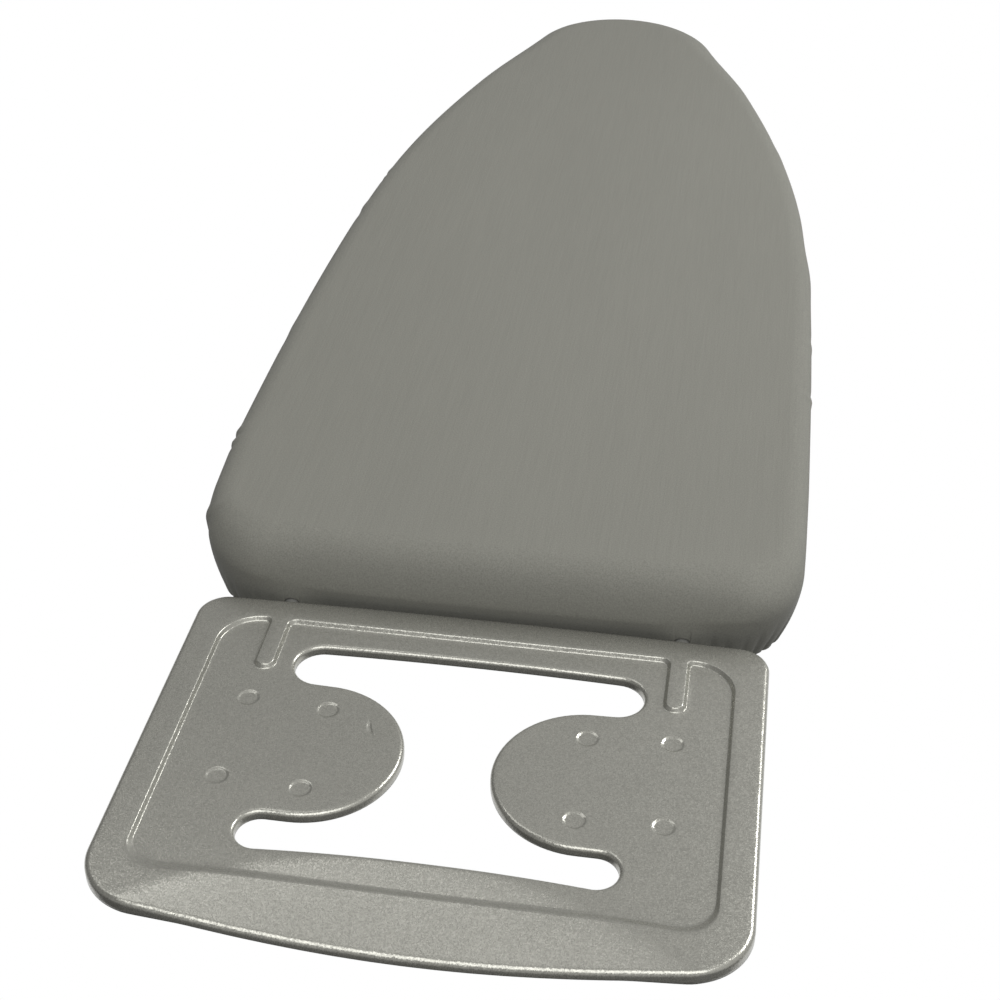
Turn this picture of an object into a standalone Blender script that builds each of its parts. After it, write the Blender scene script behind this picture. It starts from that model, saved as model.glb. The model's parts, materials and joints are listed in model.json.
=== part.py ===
"""Full-size folding ironing board with a pressed steel iron rest, legs folded flat under the top.

The assembly empty holds the board frame: X across, Y towards the nose, Z up, with Z = 0 on the
rim of the iron rest. The part's origin is at the middle of its base. Lengths are in metres.
"""

from math import acos, asin, cos, hypot, pi, radians, sin, sqrt

import bmesh
import bpy
from mathutils import Matrix, Vector
from mathutils.geometry import delaunay_2d_cdt

MM = 0.001
GAP = 0.3 * MM

# Board outline, measured at its widest line
BOARD_HALF_WIDTH = 225 * MM
BOARD_END_Y = 108 * MM
BOARD_NOSE_Y = 1218 * MM
END_BOW = 2.5 * MM
END_STEPS = 8
CORNER_RADIUS = 50 * MM
TAPER_START_Y = 252 * MM
NOSE_RADIUS = 108 * MM
NOSE_START_ANGLE = radians(17)
NOSE_STEPS = 6
TAPER_PULL = (455 * MM, 353 * MM)
TAPER_SLOPE = 0.337

# Layers of the top, as heights over the rim of the iron rest
COVER_TOP = 44 * MM
CLOTH = 0.8 * MM
WIDEST_Z = 33.5 * MM
PANEL_INSET = 8 * MM
END_OVERHANG = 12 * MM
PANEL_THICK = 1 * MM
PAD_BOTTOM = 33.9 * MM
PANEL_TOP = PAD_BOTTOM - GAP
PANEL_BOTTOM = PANEL_TOP - PANEL_THICK
UNDER_PANEL = PANEL_BOTTOM - GAP
FRAME_TUBE = 18 * MM
TUBE_WALL = 1.2 * MM
HEM_ROD_Z = -4 * MM
HEM_DROP = 8 * MM
HEM_INSET = 32 * MM
HEM_CORD = 3 * MM

# Iron rest
SHEET = 1.2 * MM
TRAY_HALF = 207 * MM
TRAY_BACK_Y = 103 * MM
TRAY_BACK_BOW = 3.5 * MM
TRAY_FRONT_Y = -190 * MM
TRAY_FRONT_BOW = 9.5 * MM
TRAY_BACK_RADIUS = 21 * MM
TRAY_FRONT_RADIUS = 38 * MM
TRAY_FLANGE = 9 * MM
FRONT_FLANGE = 5.8 * MM
FLANGE_RAMP = 55 * MM
RECESS_DEPTH = 3 * MM
RISER_RUN = 2.8 * MM
FRONT_RISER_RUN = 11 * MM
RECESS_HALF = 184.8 * MM
RECESS_BACK_Y = 84 * MM
RECESS_FRONT_Y = -166.5 * MM
RECESS_FRONT_BOW = 8 * MM
TAB_INNER_X = 138.7 * MM
TAB_OUTER_X = 149.5 * MM
TAB_END_Y = 32.9 * MM
SLOT_END_X = 104 * MM
BACK_SLOT_Y = 41.2 * MM
BACK_SLOT_RADIUS = 19.1 * MM
FRONT_SLOT_X = 107 * MM
FRONT_SLOT_Y = -118.8 * MM
FRONT_SLOT_RADIUS = 15.1 * MM
OPENING_BOW = (2 * MM, 4.5 * MM)
TONGUE_X = 92.5 * MM
TONGUE_Y = -41 * MM
TONGUE_RADIUS = 62.7 * MM
OPENING_LIP = 7 * MM
DROOP_CENTRE_Y = -417 * MM
DROOP_RADIUS = 290 * MM
DROOP_SLOPE = 0.19
DROOP_EASE = 10 * MM

# Rods that carry the iron rest
ROD_X = 144 * MM
ROD_RADIUS = 6 * MM
ROD_Z = -(RECESS_DEPTH + SHEET + GAP) - ROD_RADIUS
ROD_FRONT_Y = -150 * MM
ROD_BACK_Y = 330 * MM

# Scissor legs: the outer pair turns on a fixed axle, the inner pair's top bar slides in the rails
PIVOT_Y = 275 * MM
PIVOT_Z = 15 * MM
FOOT_Z = -31 * MM
LEG_LENGTH = 845 * MM
LEG_RADIUS = 10 * MM
OUTER_LEG_X = 84 * MM
INNER_LEG_X = 62 * MM
LEG_END = 7 * MM
FOOT_BAR_RADIUS = 11 * MM
FOOT_CAP_RADIUS = 13 * MM
FOOT_CAP_LENGTH = 20 * MM
NOSE_FOOT_HALF = 138 * MM
END_FOOT_HALF = 190 * MM
AXLE_RADIUS = 5 * MM
RIVET_RADIUS = 4 * MM
LEG_RUN = sqrt(LEG_LENGTH ** 2 - (PIVOT_Z - FOOT_Z) ** 2)
SLIDE_Y = PIVOT_Y + LEG_RUN
CROSS = Vector((0, PIVOT_Y + LEG_RUN / 2, (PIVOT_Z + FOOT_Z) / 2))

# Slide rails and height lever
RAIL_X = 38 * MM
RAIL_PLATE = 2.5 * MM
RAIL_Y = (615 * MM, 1145 * MM)
RAIL_BOTTOM = 3 * MM
RAIL_FLANGE = 15 * MM
SLOT_Y = (630 * MM, 1127 * MM)
SLOT_HALF = 6.6 * MM
NOTCH_COUNT = 7
NOTCH_PITCH = 42 * MM
NOTCH_RISE = 3 * MM
BUSH_RADIUS = 6.3 * MM
LEVER_X = 24 * MM
LEVER_Z = 27 * MM
LEVER_PIN_RADIUS = 2.5 * MM
LATCH_Y = (598 * MM, 1133 * MM)
LATCH_SHEET = 1.5 * MM
LATCH_EDGE_X = -25 * MM
LATCH_TIP_Z = 22.6 * MM
ARM_RADIUS = 3 * MM
ARM_Y = 604 * MM
GRIP_X = (-184 * MM, -156 * MM)

RIM_HEIGHT = FOOT_CAP_RADIUS - FOOT_Z
FRONT_Y = TRAY_FRONT_Y - TRAY_FRONT_BOW
CENTRE_Y = (FRONT_Y + BOARD_NOSE_Y) / 2
SIDES = (("left", -1), ("right", 1))


# ---------------------------------------------------------------- scene and materials

def clear_scene():
    for thing in list(bpy.data.objects):
        bpy.data.objects.remove(thing, do_unlink=True)


def finish(name, color, roughness, metallic):
    material = bpy.data.materials.new(name)
    material.use_nodes = True
    shader = material.node_tree.nodes["Principled BSDF"]
    shader.inputs["Base Color"].default_value = (*color, 1)
    shader.inputs["Roughness"].default_value = roughness
    shader.inputs["Metallic"].default_value = metallic
    return material


def add(name, verts, faces, material, smooth=True):
    """One named mesh object in the board frame, its faces turned outwards."""
    mesh = bpy.data.meshes.new(name)
    mesh.from_pydata([tuple(v) for v in verts], [], faces)
    shape = bmesh.new()
    shape.from_mesh(mesh)
    bmesh.ops.recalc_face_normals(shape, faces=shape.faces)
    shape.to_mesh(mesh)
    shape.free()
    mesh.materials.append(material)
    if smooth:
        mesh.shade_smooth()
        mesh.set_sharp_from_angle(angle=radians(35))
    thing = bpy.data.objects.new(name, mesh)
    bpy.context.scene.collection.objects.link(thing)
    thing.parent = bpy.data.objects["assembly"]
    return thing


def boolean(target, cutter, operation="DIFFERENCE"):
    cutter.hide_render = True
    cutter.display_type = "WIRE"
    cut = target.modifiers.new(cutter.name, "BOOLEAN")
    cut.operation = operation
    cut.object = cutter
    cut.solver = "EXACT"


# ---------------------------------------------------------------- outlines

def arc(centre, radius, start, end, steps):
    angles = [start + (end - start) * i / steps for i in range(steps + 1)]
    return [(centre[0] + radius * cos(a), centre[1] + radius * sin(a)) for a in angles]


def bezier(a, b, c, d, steps):
    points = []
    for i in range(steps + 1):
        t = i / steps
        w = ((1 - t) ** 3, 3 * (1 - t) ** 2 * t, 3 * (1 - t) * t ** 2, t ** 3)
        points.append(tuple(sum(k * p[n] for k, p in zip(w, (a, b, c, d))) for n in (0, 1)))
    return points


def mirrored(half):
    """A closed loop from its right half, whose first and last points lie on X = 0."""
    return half + [(-x, y) for x, y in reversed(half[1:-1])]


def filleted(corners, steps):
    """An open run of (x, y, radius) corners with each rounded corner as an arc."""
    points = []
    for i, (x, y, radius) in enumerate(corners):
        if radius <= 0:
            points.append((x, y))
            continue
        here = Vector((x, y))
        back = (Vector(corners[i - 1][:2]) - here).normalized()
        ahead = (Vector(corners[i + 1][:2]) - here).normalized()
        half = acos(max(-1, min(1, back.dot(ahead)))) / 2
        start = here + back * (radius * cos(half) / sin(half))
        centre = here + (back + ahead).normalized() * (radius / sin(half))
        spoke = start - centre
        turn = (pi - 2 * half) * (1 if back.cross(ahead) < 0 else -1)
        for k in range(steps + 1):
            spot = centre + Matrix.Rotation(turn * k / steps, 2) @ spoke
            points.append((spot.x, spot.y))
    return points


def bowed(points, lift):
    """The points moved along Y by lift(x, y)."""
    return [(x, y + lift(x, y)) for x, y in points]


def across(xs, y):
    return [(x, y) for x in xs]


def board_outline(inset=0.0):
    """The board's plan, moved inwards by inset."""
    corner = (BOARD_HALF_WIDTH - CORNER_RADIUS, BOARD_END_Y + END_BOW + CORNER_RADIUS)
    centre = (0, BOARD_NOSE_Y - NOSE_RADIUS)
    join = (NOSE_RADIUS * cos(NOSE_START_ANGLE), centre[1] + NOSE_RADIUS * sin(NOSE_START_ANGLE))
    pull = (join[0] + TAPER_SLOPE * TAPER_PULL[1], join[1] - TAPER_PULL[1])
    start = (BOARD_HALF_WIDTH, TAPER_START_Y)
    shares = [i / END_STEPS for i in range(END_STEPS)]
    half = [(corner[0] * k, BOARD_END_Y + END_BOW * k ** 2) for k in shares]
    half += arc(corner, CORNER_RADIUS, -pi / 2, 0, 5)
    half += bezier(start, (start[0], start[1] + TAPER_PULL[0]), pull, join, 12)[:-1]
    half += arc(centre, NOSE_RADIUS, NOSE_START_ANGLE, pi / 2, NOSE_STEPS)
    loop = [Vector(p) for p in mirrored(half)]
    moved = []
    for i, p in enumerate(loop):
        along = (loop[(i + 1) % len(loop)] - loop[i - 1]).normalized()
        moved.append(p + Vector((-along.y, along.x)) * inset)
    return moved


def frame_outline(inset):
    """The panel's and the frame's plan: the board's, but further in at the end."""
    start = BOARD_END_Y + END_BOW + CORNER_RADIUS
    loop = board_outline(inset)
    for p in loop:
        share = max(start - p.y, 0) / (start - BOARD_END_Y - inset)
        p.y += END_OVERHANG * share ** 2
    return loop


def tray_outline():
    corners = [(0, TRAY_BACK_Y, 0), (TRAY_HALF, TRAY_BACK_Y, TRAY_BACK_RADIUS),
               (TRAY_HALF, TRAY_FRONT_Y, TRAY_FRONT_RADIUS), (0, TRAY_FRONT_Y, 0)]
    half = filleted(corners, 6)
    back = [TRAY_HALF * 0.2 * i for i in range(1, 4)]
    front = [TRAY_HALF * 0.18 * i for i in range(4, 0, -1)]
    half = half[:1] + across(back, TRAY_BACK_Y) + half[1:-1] + across(front, TRAY_FRONT_Y) + half[-1:]

    def lift(x, y):
        arch = 1 - (x / TRAY_HALF) ** 2
        if y > 0:
            return TRAY_BACK_BOW * arch * max(0, y - 0.6 * TRAY_BACK_Y) / (0.4 * TRAY_BACK_Y)
        return -TRAY_FRONT_BOW * arch * max(0, y / TRAY_FRONT_Y - 0.5) / 0.5

    return mirrored(bowed(half, lift))


def recess_outline(inset):
    """Top edge of the recess wall at inset 0, its foot at the riser's run."""
    back = RECESS_BACK_Y - inset
    tab_end = TAB_END_Y - inset
    front = RECESS_FRONT_Y + FRONT_RISER_RUN / RISER_RUN * inset
    corners = [(0, back, 0), (TAB_INNER_X - inset, back, 7 * MM - inset),
               (TAB_INNER_X - inset, tab_end, 5.2 * MM + inset),
               (TAB_OUTER_X + inset, tab_end, 5.2 * MM + inset),
               (TAB_OUTER_X + inset, back, 5.2 * MM - inset),
               (RECESS_HALF - inset, back, 30 * MM - inset),
               (RECESS_HALF - inset, front, 25 * MM - inset), (0, front, 0)]
    half = filleted(corners, 4)
    half = half[:-1] + across([RECESS_HALF * 0.2 * i for i in range(4, 0, -1)], front) + half[-1:]

    def lift(x, y):
        if y > 0:
            return 0
        return RECESS_FRONT_BOW * (1 - (x / RECESS_HALF) ** 2) * (y / RECESS_FRONT_Y) ** 8

    return mirrored(bowed(half, lift))


def opening_outline():
    """The wide opening: a slot behind and before, and a round tongue from each side between them."""
    half = [(0, BACK_SLOT_Y + BACK_SLOT_RADIUS + OPENING_BOW[0])]
    half += arc((SLOT_END_X, BACK_SLOT_Y), BACK_SLOT_RADIUS, pi / 2, -pi / 2, 8)
    half += arc((TONGUE_X, TONGUE_Y), TONGUE_RADIUS, pi / 2, 3 * pi / 2, 16)
    half += arc((FRONT_SLOT_X, FRONT_SLOT_Y), FRONT_SLOT_RADIUS, pi / 2, -pi / 2, 8)
    half += [(0, FRONT_SLOT_Y - FRONT_SLOT_RADIUS + OPENING_BOW[1])]
    return mirrored(half)


# ---------------------------------------------------------------- solids

def ring_faces(a, b, count):
    """Quads between two rings of count vertices that start at index a and b."""
    return [(a + i, a + (i + 1) % count, b + (i + 1) % count, b + i) for i in range(count)]


def stacked(name, rings, material, closed_loop=False):
    """Rings of equal length joined in order, capped at both ends or joined last to first."""
    count = len(rings[0])
    verts = [v for ring in rings for v in ring]
    faces = []
    for k in range(len(rings) - 1):
        faces += ring_faces(k * count, (k + 1) * count, count)
    if closed_loop:
        faces += ring_faces((len(rings) - 1) * count, 0, count)
    else:
        faces += [tuple(range(count)), tuple(range((len(rings) - 1) * count, len(verts)))]
    return add(name, verts, faces, material)


def section(point, along, radius, sides, lift=Vector((0, 0, 1))):
    """A ring of vertices around a point, square to a direction."""
    side = along.cross(lift)
    if side.length < 1e-6:
        side = along.cross(Vector((0, 1, 0)))
    side.normalize()
    up = side.cross(along).normalized()
    turn = 2 * pi / sides
    return [point + (side * cos(turn * (k + 0.5)) + up * sin(turn * (k + 0.5))) * radius
            for k in range(sides)]


def swept(path, radius, sides):
    """Rings along a path of points, each square to the path there."""
    rings = []
    for i, point in enumerate(path):
        before = path[max(i - 1, 0)]
        after = path[min(i + 1, len(path) - 1)]
        rings.append(section(point, (after - before).normalized(), radius, sides))
    return rings


def rod(name, path, radius, material, sides=16):
    path = [Vector(p) for p in path]
    return stacked(name, swept(path, radius, sides), material)


def tube(name, path, radius, material, wall=TUBE_WALL, sides=16):
    """A hollow tube, open at its ends."""
    path = [Vector(p) for p in path]
    outer = swept(path, radius, sides)
    inner = swept(path, radius - wall, sides)
    return stacked(name, outer + inner[::-1], material, closed_loop=True)


def washer(name, centre, along, thick, inner, outer, material, sides=16):
    half = Vector(along) * thick / 2
    ends = [Vector(centre) - half, Vector(centre) + half]
    return tube(name, ends, outer, material, outer - inner, sides)


def block(name, low, high, material):
    xs, ys, zs = zip(low, high)
    verts = [(x, y, z) for z in zs for y in ys for x in xs]
    faces = [(0, 1, 3, 2), (4, 5, 7, 6), (0, 1, 5, 4), (2, 3, 7, 6), (0, 2, 6, 4), (1, 3, 7, 5)]
    return add(name, verts, faces, material, smooth=False)


def extruded(name, profile, axis, start, end, material):
    """A flat profile pulled along X (profile in Y, Z) or along Y (profile in X, Z)."""
    place = {"X": lambda at, p: (at, p[0], p[1]), "Y": lambda at, p: (p[0], at, p[1])}[axis]
    rings = [[Vector(place(at, p)) for p in profile] for at in (start, end)]
    return stacked(name, rings, material)


def drill(target, name, centre, axis, radius, reach, sides=16):
    """A round hole through a piece, along a direction."""
    half = Vector(axis) * reach / 2
    ends = [Vector(centre) - half, Vector(centre) + half]
    boolean(target, rod(f"cut_{name}", ends, radius, target.data.materials[0], sides))


# ---------------------------------------------------------------- iron rest

def tray_height(x, y):
    """How far the front of the iron rest bends down at a place."""
    past = DROOP_RADIUS - hypot(x, y - DROOP_CENTRE_Y)
    return -DROOP_SLOPE * past ** 2 / (past + DROOP_EASE) if past > 0 else 0.0


def inside(point, loop):
    x, y = point
    hit = False
    for (ax, ay), (bx, by) in zip(loop, loop[1:] + loop[:1]):
        if (ay > y) != (by > y) and x < (bx - ax) * (y - ay) / (by - ay) + ax:
            hit = not hit
    return hit


def bend_points():
    """Points across the drooping front, so that its bend is smooth."""
    spots = []
    for past in (6 * MM, 24 * MM, 45 * MM):
        radius = DROOP_RADIUS - past
        for k in range(-8, 9):
            angle = radians(3.8) * k
            spots.append((radius * sin(angle), DROOP_CENTRE_Y + radius * cos(angle)))
    return spots


def flange_depth(x, y):
    """The turned-down edge: lower in the middle of the front than at the corners and sides."""
    if y > RECESS_FRONT_Y:
        return TRAY_FLANGE
    share = min(max((RECESS_HALF - abs(x)) / FLANGE_RAMP, 0), 1)
    return TRAY_FLANGE + (FRONT_FLANGE - TRAY_FLANGE) * share


def make_tray(steel):
    loops = [tray_outline(), recess_outline(0), recess_outline(RISER_RUN), opening_outline()]
    rim, wall_top, wall_foot, opening = loops
    points, edges = [], []
    for loop in loops:
        first = len(points)
        points += loop
        edges += [(first + i, first + (i + 1) % len(loop)) for i in range(len(loop))]
    drawn = list(points)
    clearance = 5 * MM
    for spot in bend_points():
        near = min(hypot(spot[0] - p[0], spot[1] - p[1]) for p in drawn)
        if inside(spot, rim) and not inside(spot, opening) and near > clearance:
            points.append(spot)
    flat, _, triangles = delaunay_2d_cdt([Vector(p) for p in points], edges, [], 1, 1e-7)[:3]

    verts = []
    for p in flat:
        low = 0.0
        if inside(p, wall_foot) or min((p - Vector(q)).length for q in wall_foot) < 1e-5:
            low = -RECESS_DEPTH
        verts.append(Vector((p.x, p.y, low + tray_height(p.x, p.y))))
    kept = [t for t in triangles if not inside(sum((flat[i] for i in t), Vector((0, 0))) / 3, opening)]

    shape = bmesh.new()
    corners = [shape.verts.new(v) for v in verts]
    for t in kept:
        shape.faces.new([corners[i] for i in t])
    bmesh.ops.recalc_face_normals(shape, faces=shape.faces)
    if sum(f.normal.z for f in shape.faces) < 0:
        bmesh.ops.reverse_faces(shape, faces=shape.faces)
    bmesh.ops.delete(shape, geom=[v for v in shape.verts if not v.link_faces], context="VERTS")
    lip = [e for e in shape.edges if e.is_boundary]
    turned = bmesh.ops.extrude_edge_only(shape, edges=lip)["geom"]
    for v in turned:
        if isinstance(v, bmesh.types.BMVert):
            outer = not inside(v.co.xy, wall_top)
            v.co.z -= flange_depth(v.co.x, v.co.y) if outer else OPENING_LIP
    mesh = bpy.data.meshes.new("tray_plate")
    shape.to_mesh(mesh)
    shape.free()
    mesh.materials.append(steel)
    tray = bpy.data.objects.new("tray_plate", mesh)
    bpy.context.scene.collection.objects.link(tray)
    tray.parent = bpy.data.objects["assembly"]
    thicken = tray.modifiers.new("sheet", "SOLIDIFY")
    thicken.thickness = SHEET
    thicken.offset = -1
    for side, sign in SIDES:
        low = (sign * ROD_X - ROD_RADIUS - 2 * MM, TRAY_BACK_Y - 8 * MM, -3 * TRAY_FLANGE)
        high = (sign * ROD_X + ROD_RADIUS + 2 * MM, TRAY_BACK_Y + 8 * MM, -3.6 * MM)
        boolean(tray, block(f"cut_rod_notch_{side}", low, high, steel))


def make_tray_carriers(steel, plastic):
    for side, sign in SIDES:
        x = sign * ROD_X
        tube(f"tray_rod_{side}", [(x, ROD_FRONT_Y, ROD_Z), (x, ROD_BACK_Y, ROD_Z)], ROD_RADIUS, steel)
        plug_y = ROD_FRONT_Y - GAP
        rod(f"tray_rod_plug_{side}", [(x, plug_y - 3 * MM, ROD_Z), (x, plug_y, ROD_Z)],
            ROD_RADIUS, plastic)
        for place, y in (("front", -120 * MM), ("rear", -14 * MM)):
            make_clip(f"tray_clip_{side}_{place}", x, y, steel)
        for place, y in (("front", 165 * MM), ("rear", 312 * MM)):
            make_hanger(f"tray_hanger_{side}_{place}", x, y, steel)


def make_clip(name, x, y, steel):
    """A strap under the rod, with a flat ear on each side against the sheet."""
    inner, thick, ear, width = ROD_RADIUS + GAP, 1.5 * MM, 16 * MM, 14 * MM
    top = ROD_Z + ROD_RADIUS
    under = arc((x, ROD_Z), inner, 0, -pi, 8)
    outside = arc((x, ROD_Z), inner + thick, -pi, 0, 8)
    profile = [(x + ear, top), (x + inner, top)] + under + [(x - inner, top), (x - ear, top)]
    profile += [(x - ear, top - thick), (x - inner - thick, top - thick)] + outside
    profile += [(x + inner + thick, top - thick), (x + ear, top - thick)]
    extruded(name, profile, "Y", y, y + width, steel)


def make_hanger(name, x, y, steel):
    """An angle under the panel, whose upright plate holds the rod in a hole."""
    thick, foot, half, low = 3 * MM, 20 * MM, 13 * MM, ROD_Z - ROD_RADIUS - 3 * MM
    profile = [(y, low), (y + thick, low), (y + thick, UNDER_PANEL - thick),
               (y + foot, UNDER_PANEL - thick), (y + foot, UNDER_PANEL), (y, UNDER_PANEL)]
    hanger = extruded(name, profile, "X", x - half, x + half, steel)
    drill(hanger, name, (x, y, ROD_Z), (0, 1, 0), ROD_RADIUS + GAP, 4 * thick)


# ---------------------------------------------------------------- board top

def hem_share(point):
    """0 over the two rods, which pass under the square end, and 1 along the rest of the edge."""
    if point.y > BOARD_END_Y + CORNER_RADIUS:
        return 1.0
    return max(0.0, min(1.0, (abs(abs(point.x) - ROD_X) - 13 * MM) / (18 * MM)))


def cloth_ring(inset, z):
    ring = []
    for p, edge in zip(board_outline(inset), board_outline()):
        down = max(0.0, min(1.0, (WIDEST_Z - z) / (WIDEST_Z - HEM_ROD_Z)))
        drop = HEM_DROP * hem_share(edge) * down
        ring.append(Vector((p.x, p.y, z - drop)))
    return ring


def make_cover(cloth):
    """The cover's shell: flat top, round edge, and a skirt turned in under the frame."""
    profile = [(16, 44), (8, 43), (3, 40), (0, 33.5), (0.3, 18), (0.8, 4), (1.6, -2.2), (5, -4), (32, -2.5)]
    outer = [Vector((inset * MM, z * MM)) for inset, z in profile]
    inner = []
    for i, p in enumerate(outer):
        along = (outer[min(i + 1, len(outer) - 1)] - outer[max(i - 1, 0)]).normalized()
        inner.append(p + Vector((-along.y, along.x)) * CLOTH)
    inner[0] = Vector((outer[0].x, COVER_TOP - CLOTH))
    rings = [cloth_ring(*p) for p in outer] + [cloth_ring(*p) for p in reversed(inner)]
    stacked("cover", rings, cloth)


def make_pad(felt):
    profile = [(17, 42.7), (10, 41.4), (5.5, 39), (3, 36.5), (2.2, 33.9)]
    rings = [[Vector((p.x, p.y, z * MM)) for p in board_outline(inset * MM)] for inset, z in profile]
    stacked("felt_pad", rings, felt)


def make_panel(steel):
    rings = [[Vector((p.x, p.y, z)) for p in frame_outline(PANEL_INSET)]
             for z in (PANEL_BOTTOM, PANEL_TOP)]
    stacked("tabletop_panel", rings, steel)


def make_frame(steel):
    """The edge tube in four lengths that meet end to end."""
    radius = FRAME_TUBE / 2
    z = UNDER_PANEL - radius
    loop = [Vector((p.x, p.y, z)) for p in frame_outline(PANEL_INSET + radius)]
    count = len(loop)
    corner, nose = END_STEPS, count // 2 - NOSE_STEPS
    runs = {"frame_tube_left": range(count - corner, count - nose - 1, -1),
            "frame_tube_right": range(corner, nose + 1),
            "frame_tube_nose": range(nose, count - nose + 1),
            "frame_tube_end": range(-corner, corner + 1)}
    for name, run in runs.items():
        path = [loop[i % count].copy() for i in run]
        for end, inner in ((0, 1), (-1, -2)):
            path[end] += (path[inner] - path[end]).normalized() * 4 * GAP
        tube(name, path, radius, steel, sides=10)


def make_ribs(steel):
    thick, width = 4 * MM, 25 * MM
    low = UNDER_PANEL - thick

    def rib(name, x_from, x_to, y):
        block(name, (x_from, y, low), (x_to, y + width, UNDER_PANEL), steel)

    reach = 196 * MM
    for name, y in (("rib_end", 205 * MM), ("rib_middle", 400 * MM), ("rib_lever", 542 * MM)):
        rib(name, -reach, reach, y)
    for name, y, reach in (("rib_taper", 780 * MM, 165 * MM), ("rib_nose", 965 * MM, 120 * MM)):
        rib(f"{name}_left", -reach, -78 * MM, y)
        rib(f"{name}_right", 78 * MM, reach, y)


def make_hem_cord(cord):
    """The elastic that draws the hem in, just inside the hem's edge."""
    path = []
    inset = HEM_INSET + HEM_CORD
    for p, edge in list(zip(board_outline(inset), board_outline()))[::2]:
        path.append(Vector((p.x, p.y, HEM_CORD - HEM_DROP * hem_share(edge))))
    rings = []
    for i, point in enumerate(path):
        along = (path[(i + 1) % len(path)] - path[i - 1]).normalized()
        rings.append(section(point, along, HEM_CORD / 2, 6))
    stacked("hem_elastic", rings, cord, closed_loop=True)


# ---------------------------------------------------------------- legs

def make_leg(name, x, top_y, foot_y, steel):
    """One tube from past its upper pivot to its foot bar, drilled for the pivot and the cross rivet."""
    top, foot = Vector((x, top_y, PIVOT_Z)), Vector((x, foot_y, FOOT_Z))
    along = (foot - top).normalized()
    ends = [top - along * LEG_END, foot - along * (FOOT_BAR_RADIUS + GAP)]
    leg = tube(name, ends, LEG_RADIUS, steel)
    reach = 3 * LEG_RADIUS
    drill(leg, f"{name}_top", top, (1, 0, 0), AXLE_RADIUS + GAP, reach)
    middle = Vector((x, CROSS.y, CROSS.z))
    drill(leg, f"{name}_middle", middle, (1, 0, 0), RIVET_RADIUS + GAP, reach)


def make_foot(prefix, y, half_span, steel, plastic):
    """A foot bar across a pair of legs, with a plastic cap on each end."""
    inner_end = half_span - FOOT_CAP_LENGTH - GAP
    tube(f"{prefix}_foot_bar", [(-inner_end, y, FOOT_Z), (inner_end, y, FOOT_Z)],
         FOOT_BAR_RADIUS, steel, sides=16)
    sides = 12
    radius = FOOT_CAP_RADIUS / cos(pi / sides)
    for side, sign in SIDES:
        stations = [(0, 1), (FOOT_CAP_LENGTH - 4 * MM, 1), (FOOT_CAP_LENGTH, 0.75)]
        rings = []
        for step, share in stations:
            at = Vector((sign * (inner_end + GAP + step), y, FOOT_Z))
            rings.append([at + Vector((0, sin(a), cos(a))) * radius * share
                          for a in (2 * pi * (k + 0.5) / sides for k in range(sides))])
        stacked(f"{prefix}_foot_cap_{side}", rings, plastic)


def make_legs(steel, plastic, zinc):
    for side, sign in SIDES:
        make_leg(f"outer_leg_{side}", sign * OUTER_LEG_X, PIVOT_Y, SLIDE_Y, steel)
        make_leg(f"inner_leg_{side}", sign * INNER_LEG_X, SLIDE_Y, PIVOT_Y, steel)
    make_foot("outer", SLIDE_Y, NOSE_FOOT_HALF, steel, plastic)
    make_foot("inner", PIVOT_Y, END_FOOT_HALF, steel, plastic)
    shank = (INNER_LEG_X - LEG_RADIUS, OUTER_LEG_X + LEG_RADIUS)
    head, head_radius, margin = 2 * MM, 7 * MM, 0.5 * MM
    for side, sign in SIDES:
        profile = [(shank[0] - margin - head, head_radius), (shank[0] - margin, head_radius),
                   (shank[0] - margin, RIVET_RADIUS), (shank[1] + margin, RIVET_RADIUS),
                   (shank[1] + margin, head_radius), (shank[1] + margin + head, head_radius)]
        rings = [section(Vector((sign * x, CROSS.y, CROSS.z)), Vector((sign, 0, 0)), r, 12)
                 for x, r in profile]
        stacked(f"cross_rivet_{side}", rings, zinc)
        between = (INNER_LEG_X + OUTER_LEG_X) / 2
        washer(f"cross_washer_{side}", (sign * between, CROSS.y, CROSS.z), (1, 0, 0), 1.4 * MM,
               RIVET_RADIUS + GAP, 9 * MM, plastic)


def make_pivot(steel, zinc):
    """The fixed axle of the outer legs in two angle brackets, kept by push washers."""
    outer, plate, flange = 97 * MM, 2.5 * MM, 22 * MM
    axle_half = 103 * MM
    rod("pivot_axle", [(-axle_half, PIVOT_Y, PIVOT_Z), (axle_half, PIVOT_Y, PIVOT_Z)],
        AXLE_RADIUS, zinc)
    for side, sign in SIDES:
        profile = [(outer, 3 * MM), (outer + plate, 3 * MM), (outer + plate, UNDER_PANEL - plate),
                   (outer + flange, UNDER_PANEL - plate), (outer + flange, UNDER_PANEL),
                   (outer, UNDER_PANEL)]
        bracket = extruded(f"pivot_bracket_{side}", [(sign * x, z) for x, z in profile], "Y",
                           PIVOT_Y - 18 * MM, PIVOT_Y + 18 * MM, steel)
        drill(bracket, f"bracket_{side}", (sign * outer, PIVOT_Y, PIVOT_Z), (1, 0, 0),
              AXLE_RADIUS + GAP, 4 * plate)
        washer(f"axle_washer_{side}", (sign * (outer + plate + 1.2 * MM), PIVOT_Y, PIVOT_Z),
               (1, 0, 0), 1.4 * MM, AXLE_RADIUS + GAP, 9 * MM, zinc)


def slot_profile():
    """The rail's long slot, with a notch in its upper edge for each working height."""
    notch_radius = BUSH_RADIUS + GAP
    notch_z = PIVOT_Z + NOTCH_RISE
    spread = asin((PIVOT_Z + SLOT_HALF - notch_z) / notch_radius)
    low, high = PIVOT_Z - SLOT_HALF, PIVOT_Z + SLOT_HALF
    points = [(SLOT_Y[1], high), (SLOT_Y[1], low), (SLOT_Y[0], low), (SLOT_Y[0], high)]
    for k in range(NOTCH_COUNT):
        y = SLOT_Y[0] + 14 * MM + NOTCH_PITCH * k
        points += arc((y, notch_z), notch_radius, pi - spread, spread, 4)
    return points


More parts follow.
